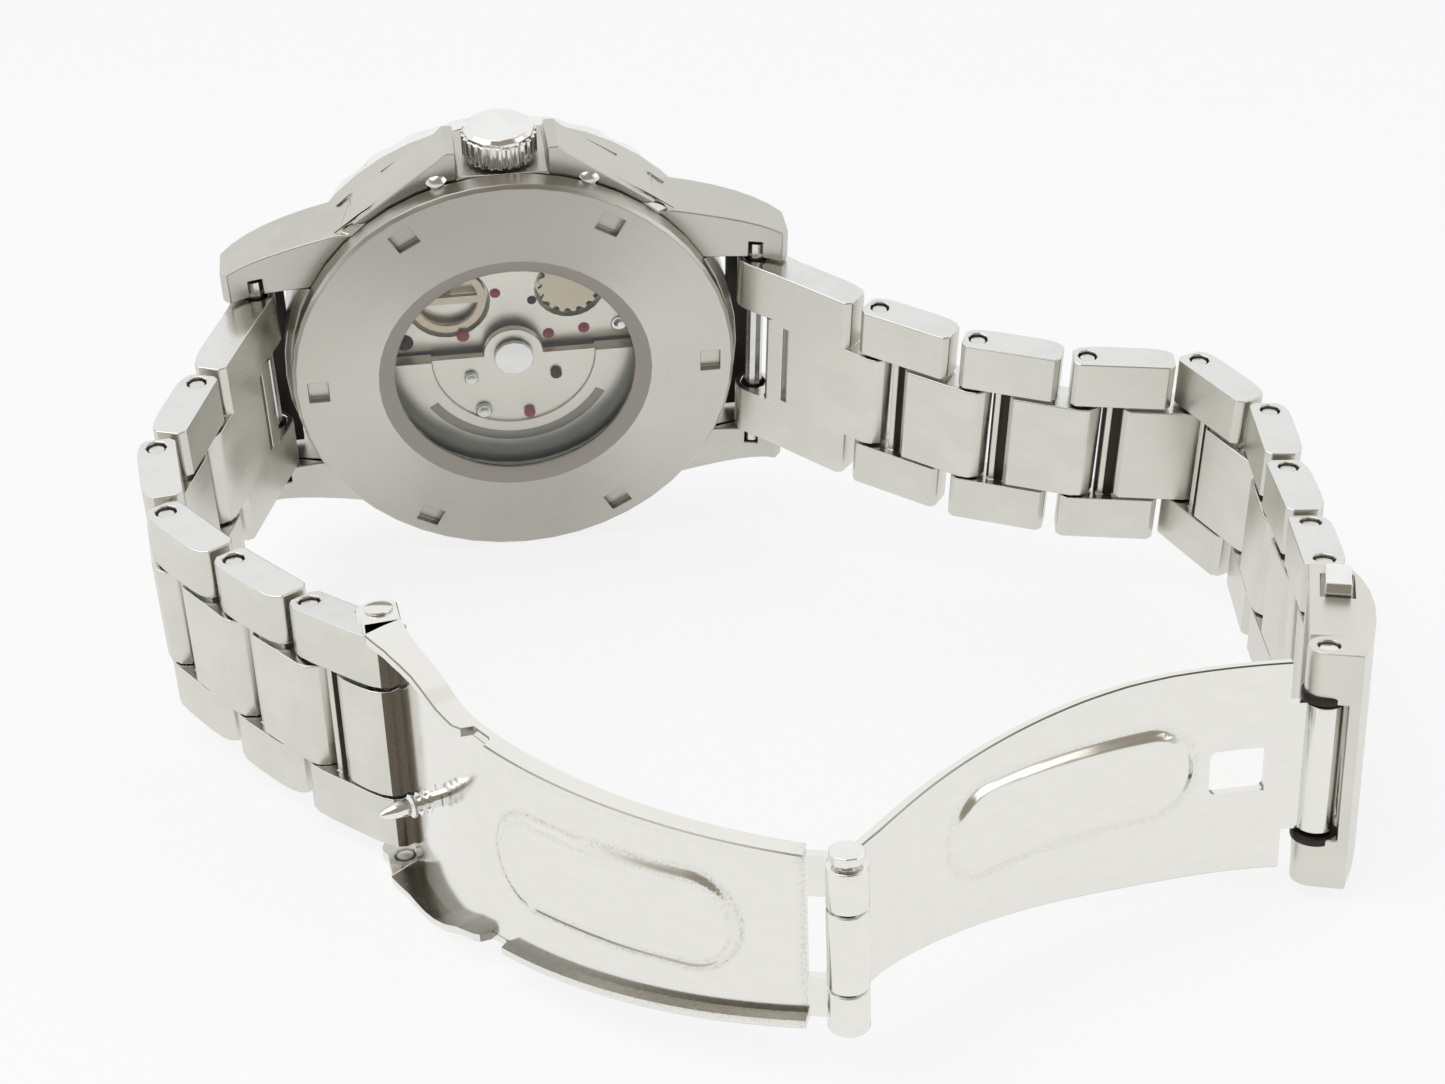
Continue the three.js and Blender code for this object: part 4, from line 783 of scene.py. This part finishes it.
class WATCH_OT_dial_side(bpy.types.Operator):
    """Set the hour markers, the minute track and the bezel's scale"""
    bl_idname = "watch.dial_side"
    bl_label = "Dial and bezel marks"

    hour_ring = 11.3
    minute_ring = (12.9, 13.7)
    scale_ring = (16.35, 17.35)

    def execute(self, context):
        face = max(WATCH_OT_movement.depths("dial"))
        front = max(WATCH_OT_movement.depths("bezel_insert"))
        hours, minutes, scale = bmesh.new(), bmesh.new(), bmesh.new()
        for i in range(60):
            turn = Matrix.Rotation(math.radians(6 * i), 4, "Y")
            if i % 5 == 0:
                if i % 15 == 0:
                    reach = 1.9 if i else 2.2
                    self.bar(hours, turn, self.hour_ring - reach, self.hour_ring + 1.0, face, 0.3,
                             0.75 if i else 1.1)
                else:
                    spot = turn @ Vector((self.hour_ring, face, 0))
                    add_turned(hours, [(0, 0.3), (0.7, 0.3), (0.85, 0.15), (0.85, -0.05),
                                       (0, -0.05)], 28, spot)
                self.bar(scale, turn, *self.scale_ring, front, 0.03, 0.45)
            else:
                middle_ring = sum(self.scale_ring) / 2
                self.bar(scale, turn, middle_ring, self.scale_ring[1], front, 0.03, 0.16)
            self.bar(minutes, turn, *self.minute_ring, face, 0.04, 0.1 if i % 5 else 0.24)
        for name, bm, finish, node_name in (
            ("hour_markers", hours, "Pale lume", "dial"),
            ("minute_track", minutes, "White print", "dial"),
            ("bezel_scale", scale, "White print", "bezel_insert"),
        ):
            new_piece(name, closed_up(bm), CASE, finish, body_of(node_name))
        return {"FINISHED"}

    @staticmethod
    def bar(bm, turn, near, far, floor, rise, width):
        """A mark that points to the middle of the dial."""
        before = set(bm.verts)
        add_slab(bm, [(near, floor - 0.03), (far, floor - 0.03), (far, floor + rise),
                      (near, floor + rise)], -width / 2, width / 2)
        fresh = [vert for vert in bm.verts if vert not in before]
        bmesh.ops.transform(bm, matrix=turn, verts=fresh)


class WATCH_OT_bracelet(bpy.types.Operator):
    """Finish the links of the bracelet and their pins"""
    bl_idname = "watch.bracelet"
    bl_label = "Bracelet"

    def execute(self, context):
        edge = context.scene.watch_steel.edge
        for side, count in (("left", LINKS_LEFT), ("right", LINKS_RIGHT)):
            name = f"end_link_{side}"
            flank = ("Polished flank", lambda spots, normal: abs(normal.z) > 0.8)
            dress(name, FRAMES[name], "Link brushed lengthwise", name, edge, areas=(flank,))
            for i in range(1, count + 1):
                link, pin = f"link_{side}_{i}", f"pin_{side}_{i}"
                # The last link's end face takes the painted shade.
                areas = (flank, ("Painted shade end steel", self.is_end)) if i == LINKS_LEFT and \
                    side == "left" else (flank,)
                dress(link, FRAMES[link], "Link brushed lengthwise", link, edge, areas=areas)
                dress(pin, FRAMES[link], "Rough pin steel", link, 0.0)
                self.slot(side, i, link)
        return {"FINISHED"}

    @staticmethod
    def is_end(spots, normal):
        """The last link's end face, whose dark colour is painted shade."""
        return normal.x > 0.5 and min(spot.x for spot in spots) > 8.0

    @staticmethod
    def slot(side, i, link):
        """A dark sheet of painted shade that closes the slot between two centre blocks."""
        half = link_width(side, i) * CENTRE_SHARE / 2 + 0.2
        bm = bmesh.new()
        add_slab(bm, ((1.72, -0.2), (3.3, -0.2), (3.3, 0.2), (1.72, 0.2)), -half, half)
        new_piece(f"slot_{side}_{i}", closed_up(bm), FRAMES[link], "Dark slot", link)


class WATCH_OT_clasp(bpy.types.Operator):
    """Finish the clasp's cover, its pins, the catch post and the buttons"""
    bl_idname = "watch.clasp"
    bl_label = "Clasp"

    def execute(self, context):
        for name, place, finish, edge in (
            ("clasp_cover", "clasp_cover", "Cover brushed", 0.1),
            ("cover_pin", "clasp_cover", "Rough pin steel", 0.0),
            ("cover_hinge_pin", "clasp_cover", "Polished steel", 0.0),
            ("push_button_upper", "clasp_cover", "Polished steel", 0.08),
            ("push_button_lower", "clasp_cover", "Polished steel", 0.08),
            ("catch_post", "inner_blade", "Polished steel", 0.0),
            ("middle_hinge_pin", "inner_blade", "Polished steel", 0.08),
            ("clasp_end_pin", "link_left_5", "Polished steel", 0.0),
        ):
            dress(name, FRAMES[place], finish, body_of(name), edge)
        return {"FINISHED"}


class WATCH_OT_cover_detail(bpy.types.Operator):
    """Set dark collars of painted shade beside the cover's ears"""
    bl_idname = "watch.cover_detail"
    bl_label = "Cover detail"

    collars = (-5.1, 5.1)

    def execute(self, context):
        place = FRAMES["outer_blade"]
        for i, across in enumerate(self.collars):
            bm = bmesh.new()
            add_bar(bm, 0, 0, 1.5, across - 0.3, across + 0.3, 0.12)
            new_piece(f"cover_collar_{i}", closed_up(bm), place, "Dark slot",
                      body_of("clasp_cover"))
        return {"FINISHED"}


class WATCH_OT_inner_blade(bpy.types.Operator):
    """Press the inner blade: its bead, its rims and the arms that carry the pivot"""
    bl_idname = "watch.inner_blade"
    bl_label = "Inner blade"

    first, last = 1.95, INNER_ARC.reach - 2.5
    outline = ((1.95, 9.4), (8.4, 9.4), (9.8, 9.25), (11.2, 8.85), (12.8, 8.2), (14.4, 7.8),
               (16.0, 7.62), (39.3, 5.85))
    rim_top = ((1.95, 2.2), (3.5, 2.4), (6.0, 1.85), (10.0, 1.5), (14.6, 1.3), (15.2, 1.05),
               (15.45, 0.3), (17.2, 0.3), (17.5, 1.05), (40.0, 1.05))
    arm = 0.65
    bead = staticmethod(rounded((26.2, 0), (9.2, 3.4), 3.4))
    post = (INNER_ARC.reach - (OUTER_ARC.reach - 5.4), 0)

    def rows(self, along):
        return edged_rows(between(along, self.outline), (0, 0.09, self.arm - 0.08, self.arm), 46)

    def levels(self, along, across):
        """The sheet's two faces; the rims and arms rise at its edges."""
        inset = between(along, self.outline) - abs(across)
        press = 0.3 * smoothed(-self.bead(along, across), 0.0, 0.6)
        high = SHEET / 2 + press
        if inset < self.arm - 0.04:
            high = between(along, self.rim_top)
        if inset < 0.02:
            high -= 0.09
        return press - SHEET / 2, high

    # Dirt mixed with painted shade: dark lines at the bead's rims and along the arms' inner edges, heavier on the
    # lower side towards the hinge, and darker near the hinge's straps.
    def fold_dirt_and_shade(self, along, across):
        inset = between(along, self.outline) - abs(across)
        line_dirt_and_shade = 0.75 * math.exp(-(self.bead(along, across) / 0.15) ** 2)
        line_dirt_and_shade += 0.4 * math.exp(-((self.bead(along, across) + 0.6) / 0.12) ** 2)
        under = smoothed(-across, 0.0, 3.0) * smoothed(along, 16.0, 38.0)
        line_dirt_and_shade += (0.15 + 0.55 * under) * math.exp(-((inset - self.arm) / 0.2) ** 2)
        return min(1.0, line_dirt_and_shade + 0.4 * smoothed(along, self.last - 0.7, self.last))

    def execute(self, context):
        hole = rounded(self.post, (0.56, 0.56), 0.56)
        bm = pressed_sheet(INNER_ARC, self.first, self.last, self.rows, self.levels,
                           self.fold_dirt_and_shade, (hole,))
        at = INNER_ARC.at
        for low, high in ((8.75, 9.4), (-9.4, -8.75)):
            eye = [(1.55 * math.sin(turn), 1.55 * math.cos(turn))
                   for turn in (math.radians(-180 * i / 20) for i in range(21))]
            add_slab(bm, [at(1.97, -SHEET / 2)] + eye + [at(3.4, 2.38), at(2.6, 1.0)],
                     low, high, 0.07)
            add_bar(bm, 0, 0, 0.95, high if high > 0 else low - 0.18,
                    high + 0.18 if high > 0 else low, 0.06)
        reach = INNER_ARC.reach
        for low, high in ((2.75, 5.45), (-5.45, -2.75)):
            strap = [at(reach - 2.7, -SHEET / 2), at(reach, -SHEET / 2), at(reach, SHEET / 2),
                     at(reach - 2.7, SHEET / 2)]
            add_slab(bm, strap, low, high)
            add_bar(bm, INNER_ARC.length, 0, 1.25, low, high, 0.12)
        new_piece("inner_blade_pressed", closed_up(bm), FRAMES["inner_blade"],
                  ("Blade sheet", "Blade painted shade edge"),
                  body_of("inner_blade"), ("inner_blade",), SLOTS["inner_blade"])
        return {"FINISHED"}


class WATCH_OT_outer_blade(bpy.types.Operator):
    """Press the outer blade: its bead and the hole that the catch post enters"""
    bl_idname = "watch.outer_blade"
    bl_label = "Outer blade"

    first, last = 2.2, OUTER_ARC.reach - 1.7
    outline = ((2.2, 7.5), (10.0, 7.5), (13.0, 7.38), (16.0, 7.12), (19.0, 6.78), (22.0, 6.4),
               (25.0, 6.0), (28.0, 5.58), (31.0, 5.15), (33.0, 4.95), (36.0, 4.95))
    bead = staticmethod(rounded((17.4, -0.7), (9.3, 3.3), 3.3))
    hole = staticmethod(rounded((5.3, 0), (1.85, 1.55), 0.5))

    def rows(self, along):
        return edged_rows(between(along, self.outline), (0, 0.09, 0.3), 44)

    def levels(self, along, across):
        inset = between(along, self.outline) - abs(across)
        press = 0.4 * smoothed(-self.bead(along, across), 0.0, 0.8)
        worn = 0.09 if inset < 0.02 else 0.0
        return press - SHEET / 2 + worn, press + SHEET / 2 - worn

    # Dirt mixed with painted shade: a dark line at the bead's rim, and darker near the hinge's straps.
    def fold_dirt_and_shade(self, along, across):
        line_dirt_and_shade = 0.3 * math.exp(-(self.bead(along, across) / 0.2) ** 2)
        return min(1.0, line_dirt_and_shade + 0.4 * smoothed(along, self.last - 0.6, self.last))

    def execute(self, context):
        bm = pressed_sheet(OUTER_ARC, self.first, self.last, self.rows, self.levels,
                           self.fold_dirt_and_shade, (self.hole,))
        at, reach = OUTER_ARC.at, OUTER_ARC.reach
        for pin, along, half in ((0, 2.4, 4.6), (reach, reach - 1.9, 2.6)):
            strap = [at(pin, -SHEET / 2), at(along, -SHEET / 2), at(along, SHEET / 2),
                     at(pin, SHEET / 2)]
            add_slab(bm, strap, -half, half)
            add_bar(bm, OUTER_ARC.length if pin else 0, 0, 1.25, -half, half, 0.12)
        new_piece("outer_blade_pressed", closed_up(bm), FRAMES["outer_blade"],
                  ("Blade sheet", "Blade painted shade edge"),
                  body_of("outer_blade"), ("outer_blade",), SLOTS["outer_blade"])
        return {"FINISHED"}


class WATCH_OT_studio(bpy.types.Operator):
    """Make the floor, the light and the camera at the photograph's angle"""
    bl_idname = "watch.studio"
    bl_label = "Studio"

    def execute(self, context):
        studio = context.scene.watch_studio
        self.camera(context, studio)
        self.floor(context, studio)
        self.sky(context, studio)
        self.lamp(context, "key", (-0.25, -0.1, 0.55), (0.0, 0.0, 0.02), 0.5, studio.key)
        self.lamp(context, "fill", (0.5, -0.25, 0.3), (0.0, 0.0, 0.02), 0.4, studio.fill)
        context.scene.view_settings.view_transform = "Standard"
        return {"FINISHED"}

    @staticmethod
    def camera(context, studio):
        yaw, pitch, roll = studio.yaw, studio.pitch, studio.roll
        ahead = Vector((math.sin(yaw) * math.cos(pitch), math.cos(yaw) * math.cos(pitch),
                        -math.sin(pitch)))
        right = Vector((math.cos(yaw), -math.sin(yaw), 0))
        up = right.cross(ahead)
        tilted_right = right * math.cos(roll) + up * math.sin(roll)
        tilted_up = up * math.cos(roll) - right * math.sin(roll)
        data = bpy.data.cameras.new("Photo camera")
        data.lens = studio.lens
        data.sensor_width = 36.0
        data.clip_start = 0.005
        view = bpy.data.objects.new("Photo camera", data)
        turn = Matrix((tilted_right, tilted_up, -ahead)).transposed().to_4x4()
        place = joint_place("bezel_turn") + Vector(studio.camera_from_case)
        view.matrix_world = Matrix.Translation(place) @ turn
        context.scene.collection.objects.link(view)
        context.scene.camera = view

    @staticmethod
    def floor(context, studio):
        bm = bmesh.new()
        bmesh.ops.create_grid(bm, x_segments=8, y_segments=8, size=1.5)
        mesh = bpy.data.meshes.new("floor")
        bm.to_mesh(mesh)
        bm.free()
        made = bpy.data.objects.new("floor", mesh)
        context.scene.collection.objects.link(made)
        paint = bpy.data.materials.new("Pale floor")
        paint.use_nodes = True
        tree = paint.node_tree
        shader = tree.nodes["Principled BSDF"]
        feed(tree, shader.inputs["Base Color"], tuple(studio.floor))
        feed(tree, shader.inputs["Roughness"], 0.6)
        path = tree.nodes.new("ShaderNodeLightPath")
        seen = (Value(tree, path.outputs["Is Camera Ray"])
                + Value(tree, path.outputs["Is Glossy Ray"])
                + Value(tree, path.outputs["Is Transmission Ray"])).clamped()
        glow = node(tree, "ShaderNodeEmission", {}, {"Color": (1, 1, 1), "Strength": 1.0})
        blend = node(tree, "ShaderNodeMixShader", {}, {0: seen * 0.8})
        tree.links.new(tree.nodes["Principled BSDF"].outputs[0],
                       blend.socket.node.inputs[1])
        tree.links.new(glow.socket, blend.socket.node.inputs[2])
        tree.links.new(blend.socket, tree.nodes["Material Output"].inputs["Surface"])
        mesh.materials.append(paint)

    @staticmethod
    def sky(context, studio):
        world = bpy.data.worlds.new("Soft white studio")
        context.scene.world = world
        world.use_nodes = True
        tree = world.node_tree
        path = tree.nodes.new("ShaderNodeLightPath")
        seen = (Value(tree, path.outputs["Is Camera Ray"])
                + Value(tree, path.outputs["Is Glossy Ray"])
                + Value(tree, path.outputs["Is Transmission Ray"])).clamped()
        glossy = Value(tree, path.outputs["Is Glossy Ray"])
        coords = tree.nodes.new("ShaderNodeTexCoord")
        split = tree.nodes.new("ShaderNodeSeparateXYZ")
        feed(tree, split.inputs[0], Value(tree, coords.outputs["Generated"]))
        behind, above = Value(tree, split.outputs[1]), Value(tree, split.outputs[2])
        dim = (above * 0.8 - behind * 0.9).ramp(0.25, 0.85)
        mirror = 1 - dim * (1.0 - studio.room)
        back = tree.nodes["Background"]
        feed(tree, back.inputs["Color"], mixed(tree, glossy * dim, (1, 1, 1), (1.0, 0.9, 0.76)))
        feed(tree, back.inputs["Strength"],
             glossy * mirror + (1 - glossy) * (seen * (1 - studio.sky) + studio.sky))

    @staticmethod
    def lamp(context, name, place, target, size, power):
        data = bpy.data.lights.new(name, "AREA")
        data.shape = "SQUARE"
        data.size = size
        data.energy = power
        lamp = bpy.data.objects.new(name, data)
        away = Vector(place) - Vector(target)
        lamp.matrix_world = Matrix.Translation(place) @ away.to_track_quat("Z", "Y").to_matrix().to_4x4()
        context.scene.collection.objects.link(lamp)


class WATCH_PT_panel(bpy.types.Panel):
    """Makes the watch's pieces and studio"""
    bl_idname = "WATCH_PT_panel"
    bl_label = "Diver's watch"
    bl_space_type = "VIEW_3D"
    bl_region_type = "UI"
    bl_category = "Watch"

    def draw(self, context):
        for operator in OPERATORS:
            self.layout.operator(operator.bl_idname)
        for group, kind in ((context.scene.watch_steel, WatchSteel),
                            (context.scene.watch_studio, WatchStudio)):
            for name in kind.__annotations__:
                self.layout.prop(group, name)


OPERATORS = (WATCH_OT_studio, WATCH_OT_finishes, WATCH_OT_head, WATCH_OT_movement,
             WATCH_OT_dial_side, WATCH_OT_bracelet,
             WATCH_OT_clasp, WATCH_OT_cover_detail, WATCH_OT_inner_blade, WATCH_OT_outer_blade)
GROUPS = {"watch_steel": WatchSteel, "watch_studio": WatchStudio}


def register():
    for kind in (*GROUPS.values(), *OPERATORS, WATCH_PT_panel):
        bpy.utils.register_class(kind)
    for name, kind in GROUPS.items():
        setattr(bpy.types.Scene, name, PointerProperty(type=kind))


def unregister():
    for name in GROUPS:
        delattr(bpy.types.Scene, name)
    for kind in reversed((*GROUPS.values(), *OPERATORS, WATCH_PT_panel)):
        bpy.utils.unregister_class(kind)


def main():
    register()
    for operator in OPERATORS:
        group, name = operator.bl_idname.split(".")
        getattr(getattr(bpy.ops, group), name)()


if __name__ == "__main__":
    main()
